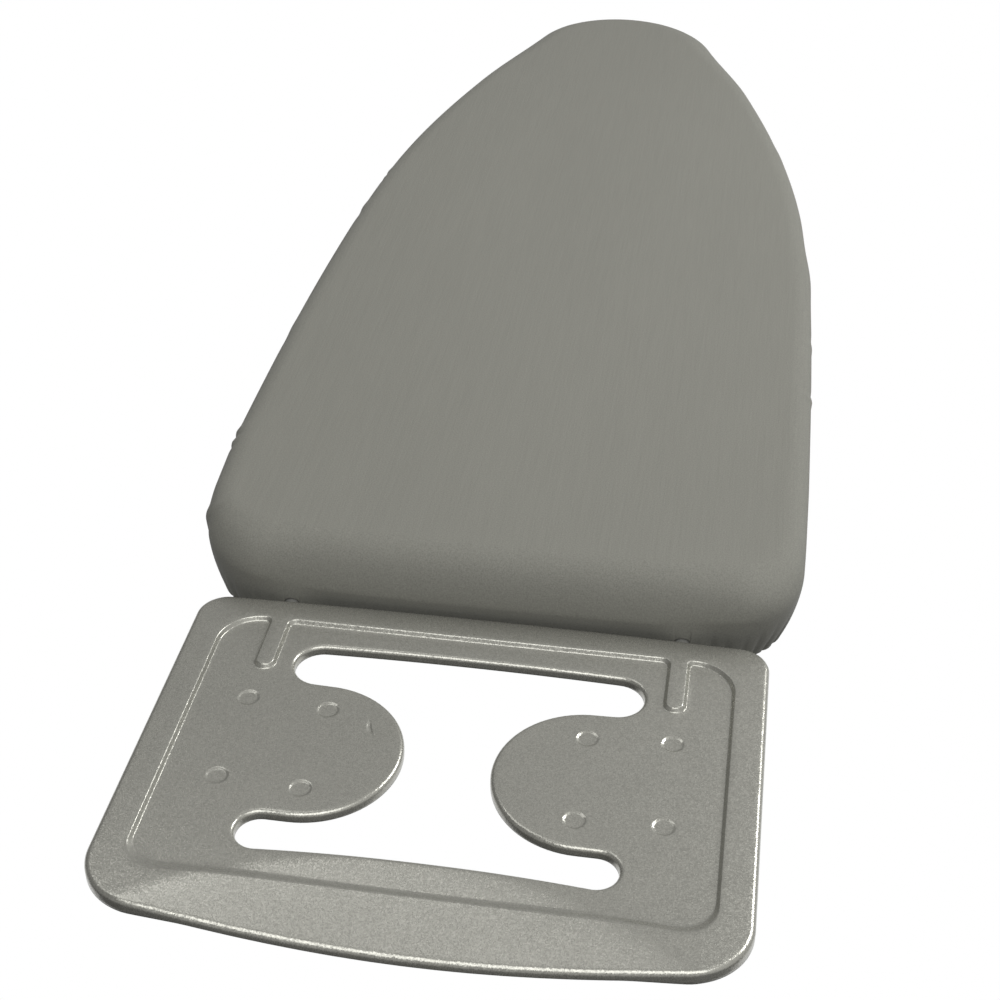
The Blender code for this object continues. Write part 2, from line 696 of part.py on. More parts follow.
def make_rails(steel, zinc, plastic):
    for side, sign in SIDES:
        profile = [(RAIL_X, RAIL_BOTTOM), (RAIL_X + RAIL_PLATE, RAIL_BOTTOM),
                   (RAIL_X + RAIL_PLATE, UNDER_PANEL - RAIL_PLATE),
                   (RAIL_X + RAIL_FLANGE, UNDER_PANEL - RAIL_PLATE),
                   (RAIL_X + RAIL_FLANGE, UNDER_PANEL), (RAIL_X, UNDER_PANEL)]
        rail = extruded(f"slide_rail_{side}", [(sign * x, z) for x, z in profile], "Y", *RAIL_Y, steel)
        reach = sorted((sign * (RAIL_X - RAIL_PLATE), sign * (RAIL_X + 2 * RAIL_PLATE)))
        boolean(rail, extruded(f"cut_slot_{side}", slot_profile(), "X", *reach, steel))
        middle = sign * (RAIL_X + RAIL_PLATE / 2)
        washer(f"slide_bush_{side}", (middle, SLIDE_Y, PIVOT_Z), (1, 0, 0), 9 * MM,
               AXLE_RADIUS + GAP, BUSH_RADIUS, plastic)
    half = INNER_LEG_X + LEG_RADIUS + 1.5 * MM
    rod("slide_bar", [(-half, SLIDE_Y, PIVOT_Z), (half, SLIDE_Y, PIVOT_Z)], AXLE_RADIUS, zinc)


# ---------------------------------------------------------------- height lever

def make_lever(steel, zinc, plastic):
    """A toothed plate on a long pin over the slide bar, lifted by an arm and grip at the left edge."""
    pin_ends = (LATCH_Y[0] - 11 * MM, LATCH_Y[1] + 8 * MM)
    rod("lever_pin", [(LEVER_X, y, LEVER_Z) for y in pin_ends], LEVER_PIN_RADIUS, zinc, 12)
    for place, y in (("front", LATCH_Y[0] - 8 * MM), ("rear", LATCH_Y[1] + 2.5 * MM)):
        holder = block(f"lever_bracket_{place}", (LEVER_X - 6 * MM, y, 20 * MM),
                       (LEVER_X + 6 * MM, y + 2.5 * MM, UNDER_PANEL), steel)
        drill(holder, f"lever_bracket_{place}", (LEVER_X, y, LEVER_Z), (0, 1, 0),
              LEVER_PIN_RADIUS + GAP, 8 * MM, 12)

    web_low = LEVER_Z - LATCH_SHEET / 2
    web_high = web_low + LATCH_SHEET
    hinge_edge = LEVER_X - LEVER_PIN_RADIUS - 1 * MM
    profile = [(LATCH_EDGE_X, LATCH_TIP_Z), (LATCH_EDGE_X + LATCH_SHEET, LATCH_TIP_Z),
               (LATCH_EDGE_X + LATCH_SHEET, web_low), (hinge_edge, web_low), (hinge_edge, web_high),
               (LATCH_EDGE_X, web_high)]
    latch = extruded("latch_plate", profile, "Y", *LATCH_Y, steel)
    for k in range(NOTCH_COUNT):
        y = SLOT_Y[0] + 14 * MM + NOTCH_PITCH * k
        half = BUSH_RADIUS - 1 * MM
        low = (LATCH_EDGE_X - 2 * MM, y - half, LATCH_TIP_Z - 2 * MM)
        high = (LATCH_EDGE_X + 2 * LATCH_SHEET, y + half, web_low - 0.4 * MM)
        boolean(latch, block(f"cut_tooth_gap_{k}", low, high, steel))
    low = (LATCH_EDGE_X - 2 * MM, LATCH_Y[0] - 2 * MM, LATCH_TIP_Z - 2 * MM)
    high = (LATCH_EDGE_X + 2 * LATCH_SHEET, ARM_Y + ARM_RADIUS + 2 * MM, web_low + 0.2 * MM)
    boolean(latch, block("cut_arm_gap", low, high, steel))
    knuckle = 18 * MM
    for k, y in enumerate((LATCH_Y[0] + 4 * MM, sum(LATCH_Y) / 2, LATCH_Y[1] - knuckle - 4 * MM)):
        ends = [(LEVER_X, y, LEVER_Z), (LEVER_X, y + knuckle, LEVER_Z)]
        ring = tube(f"knuckle_{k}", ends, LEVER_PIN_RADIUS + 2 * MM, steel, 1.6 * MM, 12)
        boolean(latch, ring, "UNION")

    arm_z = web_low - GAP - ARM_RADIUS
    path = [(14 * MM, ARM_Y, arm_z), (-58 * MM, ARM_Y, arm_z), (-70 * MM, ARM_Y, arm_z - 1 * MM),
            (-128 * MM, ARM_Y, 14.5 * MM), (-138 * MM, ARM_Y, 13.5 * MM), (GRIP_X[1] + GAP, ARM_Y, 13.5 * MM)]
    rod("lever_arm", path, ARM_RADIUS, zinc, 10)
    grip = block("lever_grip", (GRIP_X[0], 578 * MM, 7.5 * MM), (GRIP_X[1], 630 * MM, 19.5 * MM), plastic)
    soften = grip.modifiers.new("edges", "BEVEL")
    soften.width = 3 * MM
    soften.segments = 2

    turns, per_turn, coil = 3, 12, 4.4 * MM
    start, wire, pitch = LATCH_Y[0] - 4.8 * MM, 0.55 * MM, 1.3 * MM
    path = []
    for k in range(turns * per_turn + 1):
        angle = 2 * pi * k / per_turn
        spot = (LEVER_X + coil * cos(angle), start + pitch * k / per_turn, LEVER_Z + coil * sin(angle))
        path.append(spot)
    rod("lever_spring", path, wire, zinc, 5)


def main():
    clear_scene()
    assembly = bpy.data.objects.new("assembly", None)
    bpy.context.scene.collection.objects.link(assembly)
    assembly.location = (0, -CENTRE_Y, RIM_HEIGHT)

    tray_paint = finish("tray_paint", (0.30, 0.30, 0.27), 0.42, 0.6)
    steel = finish("frame_paint", (0.33, 0.33, 0.31), 0.4, 0.5)
    zinc = finish("zinc", (0.6, 0.6, 0.58), 0.3, 1.0)
    plastic = finish("dark_plastic", (0.03, 0.03, 0.032), 0.5, 0.0)
    cloth = finish("cover_cloth", (0.24, 0.24, 0.21), 0.9, 0.0)
    felt = finish("felt", (0.62, 0.6, 0.55), 1.0, 0.0)
    elastic = finish("elastic", (0.7, 0.7, 0.68), 0.8, 0.0)

    make_tray(tray_paint)
    make_tray_carriers(steel, plastic)
    make_cover(cloth)
    make_pad(felt)
    make_panel(steel)
    make_frame(steel)
    make_ribs(steel)
    make_hem_cord(elastic)
    make_legs(steel, plastic, zinc)
    make_pivot(steel, zinc)
    make_rails(steel, zinc, plastic)
    make_lever(steel, zinc, plastic)


main()
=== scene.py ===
import json
from contextlib import contextmanager
from math import acos, cos, exp, hypot, pi, radians, sin

import bmesh
import bpy
import numpy as np
from mathutils import Matrix, Vector
from mathutils.geometry import delaunay_2d_cdt


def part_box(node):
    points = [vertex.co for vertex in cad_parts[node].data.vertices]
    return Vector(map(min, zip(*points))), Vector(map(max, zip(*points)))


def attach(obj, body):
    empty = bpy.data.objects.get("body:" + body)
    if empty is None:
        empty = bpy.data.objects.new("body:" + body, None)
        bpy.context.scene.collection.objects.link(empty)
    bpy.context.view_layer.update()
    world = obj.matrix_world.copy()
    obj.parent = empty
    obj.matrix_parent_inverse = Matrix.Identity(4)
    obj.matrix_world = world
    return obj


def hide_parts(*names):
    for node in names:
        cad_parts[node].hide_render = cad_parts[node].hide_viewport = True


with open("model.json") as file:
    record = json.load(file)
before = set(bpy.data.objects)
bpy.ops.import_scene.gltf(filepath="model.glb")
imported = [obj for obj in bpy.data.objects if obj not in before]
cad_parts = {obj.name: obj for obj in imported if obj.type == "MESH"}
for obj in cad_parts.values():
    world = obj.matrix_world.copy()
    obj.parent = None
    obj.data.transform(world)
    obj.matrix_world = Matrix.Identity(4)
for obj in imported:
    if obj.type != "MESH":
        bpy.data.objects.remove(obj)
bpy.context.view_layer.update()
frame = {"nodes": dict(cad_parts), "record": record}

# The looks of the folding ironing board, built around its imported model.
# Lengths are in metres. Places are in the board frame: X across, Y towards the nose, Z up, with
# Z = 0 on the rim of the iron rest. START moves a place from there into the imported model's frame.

MM = 0.001
RECORD = frame["record"]
BODY_OF = {n: body for body, nodes in RECORD["behaviour"]["bodies"].items() for n in nodes}
SLOT_OF = {part["node"]: part["material_slot"] for part in RECORD["subparts"]}
SIDES = (("left", -1), ("right", 1))

# Board outline, at the widest line of the cover
BOARD_END_Y = 108 * MM
BOARD_NOSE_Y = 1218 * MM
END_BOW = 2.5 * MM
END_FACE_Y = 122 * MM
CORNER_RADIUS = 50 * MM
TAPER_START_Y = 252 * MM
NOSE_RADIUS = 108 * MM
NOSE_START_ANGLE = radians(17)
TAPER_PULL = (455 * MM, 353 * MM)
TAPER_SLOPE = 0.337
WAIST_Y = 640 * MM
WAIST_REACH = 130 * MM

START = Vector((0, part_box("cover")[0].y - BOARD_END_Y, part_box("tray_plate")[1].z))


def board_box(name):
    """The lowest and highest corner of a CAD node, in the board frame."""
    low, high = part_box(name)
    return low - START, high - START


# Heights of the layers of the top
COVER_TOP = board_box("cover")[1].z
WIDEST_Z = 33.5 * MM
PAD_BOTTOM = board_box("felt_pad")[0].z
PANEL_LOW, PANEL_HIGH = (corner.z for corner in board_box("tabletop_panel"))
PANEL_INSET = 8 * MM
END_OVERHANG = 12 * MM
EDGE_POINTS = 1400

# Iron rest
SHEET = 1.2 * MM
TRAY_HALF = 207 * MM
TRAY_BACK_Y = 103 * MM
TRAY_BACK_BOW = 3.5 * MM
TRAY_FRONT_Y = -190 * MM
TRAY_FRONT_BOW = 9.5 * MM
TRAY_BACK_RADIUS = 21 * MM
TRAY_FRONT_RADIUS = 38 * MM
TRAY_FLANGE = 9 * MM
FRONT_FLANGE = 5.8 * MM
RIM_ROUND = 3.6 * MM
RECESS_DEPTH = 3 * MM
RISER_RUN = 2.8 * MM
FRONT_RISER_RUN = 11 * MM
RECESS_HALF = 184.8 * MM
RECESS_BACK_Y = 84 * MM
RECESS_FRONT_Y = -166.5 * MM
RECESS_FRONT_BOW = 8 * MM
TAB_INNER_X = 138.7 * MM
TAB_OUTER_X = 149.5 * MM
TAB_END_Y = 32.9 * MM
TAB_ROUND = 5.2 * MM
SLOT_END_X = 104 * MM
BACK_SLOT_Y = 41.2 * MM
BACK_SLOT_RADIUS = 19.1 * MM
FRONT_SLOT_X = 107 * MM
FRONT_SLOT_Y = -118.8 * MM
FRONT_SLOT_RADIUS = 15.1 * MM
OPENING_BOW = (2 * MM, 4.5 * MM)
TONGUE_X = 92.5 * MM
TONGUE_Y = -41 * MM
TONGUE_RADIUS = 62.7 * MM
OPENING_LIP = 7 * MM
LIP_ROUND = 3.2 * MM
DROOP_CENTRE_Y = -417 * MM
DROOP_RADIUS = 290 * MM
DROOP_SLOPE = 0.19
DROOP_EASE = 10 * MM
DIMPLE_RADIUS = 7.8 * MM
DIMPLE_DEPTH = 0.7 * MM
DIMPLES = [(x * MM, y * MM) for x, y in ((145.8, 0), (89, -3.7), (146, -76.5), (89.4, -79.5))]
DENT_START = (-58.6 * MM, -6.1 * MM)
DENT_END = (-50.7 * MM, -26.7 * MM)
DENT_BOW = (-2.6 * MM, -1 * MM)
DENT_HALF_WIDTH = 2.2 * MM
DENT_DEPTH = 0.65 * MM

# Rods under the iron rest, which pass the cover's hem
ROD_X = 144 * MM
ROD_Z = -10.5 * MM
ROD_ROOM = 6.2 * MM

TUBE_WALL = 1.2 * MM
FLAKE_SIZE = 0.75 * MM
FLAKE_LEAN = 1.4
RANDOM = np.random.default_rng(11)


# ------ materials

def feed(tree, made, values):
    """Input values or links of a node, by input name or number."""
    for key, value in values.items():
        if isinstance(value, bpy.types.NodeSocket):
            tree.links.new(value, made.inputs[key])
        else:
            made.inputs[key].default_value = value


def node(tree, kind, values=(), output=0, **settings):
    """The output of a new shader node with some settings and inputs."""
    made = tree.nodes.new("ShaderNode" + kind)
    for key, value in settings.items():
        setattr(made, key, value)
    feed(tree, made, dict(values))
    return made.outputs[output]


def material(name):
    made = bpy.data.materials.new(name)
    made.use_nodes = True
    return made, made.node_tree, made.node_tree.nodes["Principled BSDF"]


def placed(tree, stretch=(1, 1, 1)):
    """Object coordinates, stretched along each axis."""
    spot = node(tree, "TexCoord", output="Object")
    return node(tree, "Mapping", {"Vector": spot, "Scale": stretch})


def noise(tree, scale, detail=2.0, rough=0.5, stretch=(1, 1, 1)):
    values = {"Vector": placed(tree, stretch), "Scale": scale, "Detail": detail, "Roughness": rough}
    return node(tree, "TexNoise", values, "Fac")


def waves(tree, direction, scale, distortion, detail=2.0):
    values = {"Vector": placed(tree), "Scale": scale, "Distortion": distortion, "Detail": detail}
    return node(tree, "TexWave", values, "Fac", bands_direction=direction)


def ranged(tree, value, low, high, start=0.3, end=0.7):
    """A value from start to end brought to low to high."""
    values = {"Value": value, "From Min": start, "From Max": end, "To Min": low, "To Max": high}
    return node(tree, "MapRange", values, "Result")


def vectors(tree, operation, a, b=(0, 0, 0)):
    return node(tree, "VectorMath", {0: a, 1: b}, operation=operation)


def numbers(tree, operation, a, b):
    return node(tree, "Math", {0: a, 1: b}, operation=operation)


def tinted(tree, color, *factors):
    """A colour times each of some grey factors."""
    made = node(tree, "RGB")
    made.default_value = (*color, 1)
    for factor in factors:
        made = vectors(tree, "MULTIPLY", made, factor)
    return made


def bump(tree, height, strength, distance, normal=None):
    values = {"Height": height, "Strength": strength, "Distance": distance}
    return node(tree, "Bump", values | ({"Normal": normal} if normal else {}))


def cloth_finish(name, color):
    """Plain grey cotton with a matt coating: fine weave, soft lengthwise streaks, faint mottling."""
    made, tree, shader = material(name)
    grain = noise(tree, 1000)
    streaks = noise(tree, 560, 2, 0.6, (1, 0.03, 1))
    broad = noise(tree, 12, 2, 0.5, (1, 0.3, 1))
    tint = tinted(tree, color, ranged(tree, grain, 0.84, 1.16), ranged(tree, streaks, 0.97, 1.03),
                  ranged(tree, broad, 0.985, 1.015))
    weave = numbers(tree, "ADD", *(waves(tree, direction, 520.0, 1.2, 1.0) for direction in "XY"))
    weave = bump(tree, weave, 0.14, 0.15 * MM)
    feed(tree, shader, {"Base Color": tint, "Roughness": ranged(tree, grain, 0.76, 0.88),
                        "Normal": bump(tree, streaks, 0.25, 0.6 * MM, weave),
                        "Sheen Weight": 0.06, "Specular IOR Level": 0.35})
    return made


def flake_finish(name, color, roughness, flake, metallic):
    """Satin paint with metal flakes, each a little lighter or darker and leaning its own way."""
    made, tree, shader = material(name)
    cells = {"Vector": placed(tree), "Scale": 1 / FLAKE_SIZE}
    cell = node(tree, "TexVoronoi", cells, "Color", feature="F1")
    pick = [node(tree, "SeparateColor", {"Color": cell}, channel) for channel in (0, 1)]
    shade = ranged(tree, pick[0], 1 - flake, 1 + flake, 0, 1)
    tint = tinted(tree, color, shade, ranged(tree, noise(tree, 28, 3), 0.98, 1.02))
    lean = vectors(tree, "SUBTRACT", cell, (0.5, 0.5, 0.5))
    lean = vectors(tree, "MULTIPLY", lean, (FLAKE_LEAN * flake,) * 3)
    orange = bump(tree, noise(tree, 420), 0.1, 0.1 * MM)
    normal = vectors(tree, "NORMALIZE", vectors(tree, "ADD", orange, lean))
    gloss = ranged(tree, pick[1], roughness - 0.05, roughness + 0.05, 0, 1)
    feed(tree, shader, {"Base Color": tint, "Roughness": gloss, "Metallic": metallic,
                        "Normal": normal, "Coat Weight": 0.2, "Coat Roughness": 0.2})
    return made


def metal_finish(name, color, roughness, scratch):
    """Plated steel with fine drawing marks and dull patches."""
    made, tree, shader = material(name)
    marks = bump(tree, noise(tree, 900, 3, 0.6, (1, 0.06, 1)), scratch, 0.05 * MM)
    patch = noise(tree, 35, 3)
    gloss = ranged(tree, patch, roughness - 0.07, roughness + 0.1)
    tint = tinted(tree, color, ranged(tree, patch, 0.88, 1.08))
    feed(tree, shader, {"Base Color": tint, "Roughness": gloss, "Metallic": 1.0, "Normal": marks})
    return made


def plastic_finish(name, color):
    made, tree, shader = material(name)
    grain = noise(tree, 1400)
    tint = tinted(tree, color, ranged(tree, noise(tree, 40), 0.85, 1.15))
    feed(tree, shader, {"Base Color": tint, "Roughness": ranged(tree, grain, 0.42, 0.58),
                        "Normal": bump(tree, grain, 0.3, 0.08 * MM)})
    return made


def felt_finish(name, color):
    made, tree, shader = material(name)
    fibres = noise(tree, 700, 5, 0.75, (1, 0.35, 1))
    tint = tinted(tree, color, ranged(tree, fibres, 0.75, 1.15))
    feed(tree, shader, {"Base Color": tint, "Roughness": 1.0, "Sheen Weight": 0.2,
                        "Normal": bump(tree, fibres, 0.7, 0.4 * MM)})
    return made


def elastic_finish(name, color):
    made, tree, shader = material(name)
    braid = waves(tree, "DIAGONAL", 420.0, 2.0)
    tint = tinted(tree, color, ranged(tree, braid, 0.7, 1.05, 0, 1))
    feed(tree, shader, {"Base Color": tint, "Roughness": 0.85,
                        "Normal": bump(tree, braid, 0.6, 0.2 * MM)})
    return made


FINISH = {name: made(name, *look) for name, made, *look in (
    ("tray_paint", flake_finish, (0.35, 0.346, 0.309), 0.28, 0.09, 0.68),
    ("frame_paint", flake_finish, (0.33, 0.33, 0.31), 0.4, 0.06, 0.5),
    ("zinc", metal_finish, (0.6, 0.6, 0.58), 0.3, 0.3),
    ("dark_plastic", plastic_finish, (0.03, 0.03, 0.032)),
    ("cover_cloth", cloth_finish, (0.161, 0.16, 0.139)),
    ("felt", felt_finish, (0.62, 0.6, 0.55)),
    ("elastic", elastic_finish, (0.7, 0.7, 0.68)))}


# ------ mesh helpers

def added(name, data):
    thing = bpy.data.objects.new(name, data)
    bpy.context.scene.collection.objects.link(thing)
    return thing


def add_mesh(name, verts, faces, finish):
    mesh = bpy.data.meshes.new(name)
    mesh.from_pydata([tuple(map(float, v)) for v in verts], [], [tuple(map(int, f)) for f in faces])
    mesh.materials.append(FINISH[finish])
    thing = added(name, mesh)
    thing.location = START
    return thing


def smoothed(thing, angle):
    thing.data.shade_smooth()
    thing.data.set_sharp_from_angle(angle=radians(angle))
    return thing


@contextmanager
def edited(thing):
    """The thing's mesh, open for editing."""
    shape = bmesh.new()
    shape.from_mesh(thing.data)
    yield shape
    shape.to_mesh(thing.data)
    shape.free()


def turned_out(thing, merge=0.0):
    """Points closer than a distance joined, and the faces turned outwards."""
    with edited(thing) as shape:
        if merge:
            bmesh.ops.remove_doubles(shape, verts=shape.verts, dist=merge)
        bmesh.ops.recalc_face_normals(shape, faces=shape.faces)
    return thing


def thicken(thing, thickness):
    made = thing.modifiers.new("thickness", "SOLIDIFY")
    made.thickness = thickness
    made.offset = -1


def stands_for(thing, *nodes):
    """The piece rides where its CAD nodes ride and hides them."""
    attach(thing, BODY_OF[nodes[0]])
    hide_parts(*nodes)
    return thing


def goes_with(thing, other):
    """A small extra piece that rides with a CAD node."""
    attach(thing, BODY_OF[other])


def ring_faces(a, b, count):
    return [(a + i, a + (i + 1) % count, b + (i + 1) % count, b + i) for i in range(count)]


def bands(rings, start=0):
    """The points of rings of equal length, and the faces between neighbouring rings."""
    count = len(rings[0])
    faces = []
    for first in range(start, start + (len(rings) - 1) * count, count):
        faces += ring_faces(first, first + count, count)
    return [point for ring in rings for point in ring], faces


def lofted(name, rings, finish, closed_loop=False, angle=40):
    """Rings of equal length joined in order, with both ends capped or joined to each other."""
    verts, faces = bands(rings)
    count = len(rings[0])
    last = len(verts) - count
    if closed_loop:
        faces += ring_faces(last, 0, count)
    else:
        faces += [tuple(range(count)), tuple(range(last, len(verts)))]
    return smoothed(turned_out(add_mesh(name, verts, faces, finish)), angle)


def quarter(steps, first=0):
    """Even angles up to a right angle."""
    return [pi / 2 * k / steps for k in range(first, steps + 1)]


def section(point, along, radius, sides):
    side = along.cross(Vector((0, 0, 1)))
    if side.length < 1e-6:
        side = along.cross(Vector((0, 1, 0)))
    side.normalize()
    up = side.cross(along).normalized()
    angles = [2 * pi * k / sides for k in range(sides)]
    return [point + (side * cos(a) + up * sin(a)) * radius for a in angles]


def swept(path, radii, sides):
    rings = []
    for i, point in enumerate(path):
        along = (path[min(i + 1, len(path) - 1)] - path[max(i - 1, 0)]).normalized()
        rings.append(section(point, along, radii[i], sides))
    return rings


def with_edges(path, radius, edge):
    """A path with a short chamfered length at both ends, and its radii."""
    path = [Vector(p) for p in path]
    first = (path[1] - path[0]).normalized() * edge
    last = (path[-2] - path[-1]).normalized() * edge
    path = [path[0], path[0] + first] + path[1:-1] + [path[-1] + last, path[-1]]
    return path, [radius - edge] + [radius] * (len(path) - 2) + [radius - edge]


def tube(name, path, radius):
    """A smooth hollow tube with open, slightly rounded ends."""
    path, outer = with_edges(path, radius, 0.3 * MM)
    inner = [radius - TUBE_WALL] * len(path)
    rings = swept(path, outer, 32) + swept(path, inner, 32)[::-1]
    return lofted(name, rings, "frame_paint", closed_loop=True)


def rod(name, path, radius, sides):
    """A solid bar with chamfered ends."""
    return lofted(name, swept(*with_edges(path, radius, 0.6 * MM), sides), "zinc")


def turned(name, start, along, profile, finish, sides=32, closed_loop=False):
    """A turned piece from (distance, radius) points along an axis."""
    along = Vector(along).normalized()
    rings = [section(Vector(start) + along * d, along, max(r, 0.05 * MM), sides) for d, r in profile]
    return lofted(name, rings, finish, closed_loop, 50)


def middle(name):
    return sum(board_box(name), Vector()) / 2


def span(name):
    low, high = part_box(name)
    return high - low


def bar_line(name, axis):
    """The two ends of a straight bar's middle line, along X (0) or Y (1)."""
    reach = Vector()
    reach[axis] = span(name)[axis] / 2
    return [middle(name) - reach, middle(name) + reach]


# ------ outlines

def arc(centre, radius, start, end, steps):
    angles = [start + (end - start) * i / steps for i in range(steps + 1)]
    return [(centre[0] + radius * cos(a), centre[1] + radius * sin(a)) for a in angles]


def bezier(corners, steps):
    t = np.linspace(0, 1, steps + 1)
    shares = [(1 - t) ** 3, 3 * (1 - t) ** 2 * t, 3 * (1 - t) * t ** 2, t ** 3]
    return np.transpose(shares) @ np.array(corners)


def mirrored(half):
    return half + [(-x, y) for x, y in reversed(half[1:-1])]


def filleted(corners, steps):
    """An open run of (x, y, radius) corners with each rounded corner as an arc."""
    points = []
    for i, (x, y, radius) in enumerate(corners):
        if radius <= 0:
            points.append((x, y))
            continue
        here = Vector((x, y))
        back = (Vector(corners[i - 1][:2]) - here).normalized()
        ahead = (Vector(corners[i + 1][:2]) - here).normalized()
        half = acos(max(-1, min(1, back.dot(ahead)))) / 2
        start = here + back * (radius * cos(half) / sin(half))
        centre = here + (back + ahead).normalized() * (radius / sin(half))
        spoke = start - centre
        turn = (pi - 2 * half) * (1 if back.cross(ahead) < 0 else -1)
        for k in range(steps + 1):
            spot = centre + Matrix.Rotation(turn * k / steps, 2) @ spoke
            points.append((spot.x, spot.y))
    return points


def edges_of(loop):
    return zip(loop, loop[1:] + loop[:1])


def cut_up(loop, counts):
    """Each edge of a closed loop cut into a given number of equal pieces."""
    points = []
    for ((x, y), ahead), count in zip(edges_of(loop), counts):
        shares = [k / count for k in range(count)]
        points += [(x + (ahead[0] - x) * t, y + (ahead[1] - y) * t) for t in shares]
    return points


def ring_family(outline, insets, pitch):
    """The same outline at several insets, with matching points."""
    middle_one = edges_of(outline(insets[len(insets) // 2]))
    counts = [max(1, round(hypot(b[0] - a[0], b[1] - a[1]) / pitch)) for a, b in middle_one]
    return [cut_up(outline(inset), counts) for inset in insets]


def tray_lift(x, y):
    arch = 1 - (x / TRAY_HALF) ** 2
    if y > 0:
        return TRAY_BACK_BOW * arch * max(0, y - 0.6 * TRAY_BACK_Y) / (0.4 * TRAY_BACK_Y)
    return -TRAY_FRONT_BOW * arch * max(0, y / TRAY_FRONT_Y - 0.5) / 0.5


def tray_outline(inset):
    half, back, front = TRAY_HALF - inset, TRAY_BACK_Y - inset, TRAY_FRONT_Y + inset
    corners = [(0, back, 0), (half, back, TRAY_BACK_RADIUS - inset),
               (half, front, TRAY_FRONT_RADIUS - inset), (0, front, 0)]
    run = filleted(corners, 20)
    steps = [half * 0.1 * i for i in range(1, 8)]
    run = run[:1] + [(x, back) for x in steps] + run[1:-1] + [(x, front) for x in steps[::-1]] + run[-1:]
    return mirrored([(x, y + tray_lift(x, y)) for x, y in run])


def recess_outline(inset):
    """Top edge of the recess wall at inset 0, its foot at the riser's run."""
    back, tab_end, side = RECESS_BACK_Y - inset, TAB_END_Y - inset, RECESS_HALF - inset
    front = RECESS_FRONT_Y + FRONT_RISER_RUN / RISER_RUN * inset
    tab_in, tab_out = TAB_INNER_X - inset, TAB_OUTER_X + inset
    corners = [(0, back, 0), (tab_in, back, 7 * MM - inset), (tab_in, tab_end, TAB_ROUND + inset),
               (tab_out, tab_end, TAB_ROUND + inset), (tab_out, back, TAB_ROUND - inset),
               (side, back, 30 * MM - inset), (side, front, 25 * MM - inset), (0, front, 0)]
    run = filleted(corners, 10)
    steps = [RECESS_HALF * 0.08 * i for i in range(10, 0, -1)]
    run = run[:-1] + [(x, front) for x in steps] + run[-1:]
    bow = [(1 - (x / RECESS_HALF) ** 2) * (min(y, 0) / RECESS_FRONT_Y) ** 8 for x, y in run]
    return mirrored([(x, y + RECESS_FRONT_BOW * share) for (x, y), share in zip(run, bow)])


def opening_outline(outset):
    """The wide opening, grown into the sheet by outset."""
    back_r, front_r = BACK_SLOT_RADIUS + outset, FRONT_SLOT_RADIUS + outset
    shares = [i / 14 for i in range(14)]
    half = [(SLOT_END_X * t, BACK_SLOT_Y + back_r + OPENING_BOW[0] * (1 - t * t)) for t in shares]
    half += arc((SLOT_END_X, BACK_SLOT_Y), back_r, pi / 2, -pi / 2, 20)
    half += arc((TONGUE_X, TONGUE_Y), TONGUE_RADIUS - outset, pi / 2, 3 * pi / 2, 44)
    half += arc((FRONT_SLOT_X, FRONT_SLOT_Y), front_r, pi / 2, -pi / 2, 20)
    half += [(FRONT_SLOT_X * t, FRONT_SLOT_Y - front_r + OPENING_BOW[1] * (1 - t * t))
             for t in shares[::-1]]
    return mirrored(half)


def inside(points, loop):
    """Which of an array of points lie inside a closed loop."""
    x, y = points[:, 0], points[:, 1]
    hit = np.zeros(len(points), bool)
    for (ax, ay), (bx, by) in edges_of(loop):
        if ay != by:
            crosses = (ay > y) != (by > y)
            hit ^= crosses & (x < (bx - ax) * (y - ay) / (by - ay) + ax)
    return hit


def within(points, loops):
    """Which points lie inside the first loop and outside all the others."""
    kept = inside(points, loops[0])
    for loop in loops[1:]:
        kept &= ~inside(points, loop)
    return kept


# ------ iron rest

def droop(points):
    """How far the front of the iron rest bends down at each place."""
    past = np.maximum(DROOP_RADIUS - np.hypot(points[:, 0], points[:, 1] - DROOP_CENTRE_Y), 0)
    return -DROOP_SLOPE * past ** 2 / (past + DROOP_EASE)


def eased_step(t, bend=0.3):
    """A ramp from 0 to 1 with a short round bend at each end."""
    slope = 1 / (1 - bend)
    if t < bend:
        return slope * t * t / (2 * bend)
    if t > 1 - bend:
        return 1 - slope * (1 - t) ** 2 / (2 * bend)
    return slope * (t - bend / 2)


def filled(loops, grid, keep_off):
    """Triangles between loops, with a grid of points spread inside the first one."""
    border = np.array([p for loop in loops for p in loop])
    low, high = border.min(0), border.max(0)
    xs = np.arange(low[0] + grid / 2, high[0], grid)
    ys = np.arange(low[1] + grid / 2, high[1], grid * 0.866)
    spots = np.array([(x + (grid / 2 if k % 2 else 0), y) for k, y in enumerate(ys) for x in xs])
    spots = spots[within(spots, loops)]
    clear = np.ones(len(spots), bool)
    for k in range(0, len(border), 400):
        gap = np.hypot(*(spots[:, None, :] - border[None, k:k + 400, :]).transpose(2, 0, 1))
        clear &= gap.min(1) > keep_off
    points = [Vector(p) for p in border] + [Vector(p) for p in spots[clear]]
    edges, first = [], 0
    for loop in loops:
        edges += [(first + i, first + (i + 1) % len(loop)) for i in range(len(loop))]
        first += len(loop)
    flat, _, triangles = delaunay_2d_cdt(points, edges, [], 1, 1e-8)[:3]
    flat = np.array([tuple(p) for p in flat])
    triangles = np.array([tuple(t) for t in triangles])
    return flat, triangles[within(flat[triangles].mean(1), loops)]


class Patchwork:
    """Flat pieces with heights, gathered into one list of vertices and faces."""

    def __init__(self):
        self.verts, self.faces = [], []

    def add_rings(self, rings, heights, floor=False):
        raised = [[(x, y, z) for x, y in ring] for ring, z in zip(rings, heights)]
        verts, faces = bands(raised, len(self.verts))
        self.verts += verts
        self.faces += faces
        if floor:
            end = len(self.verts)
            self.faces.append(tuple(range(end - len(rings[-1]), end)))

    def add_flat(self, flat, triangles, z):
        first = len(self.verts)
        self.verts += [(x, y, z) for x, y in flat]
        self.faces += [tuple(first + i for i in t) for t in triangles]


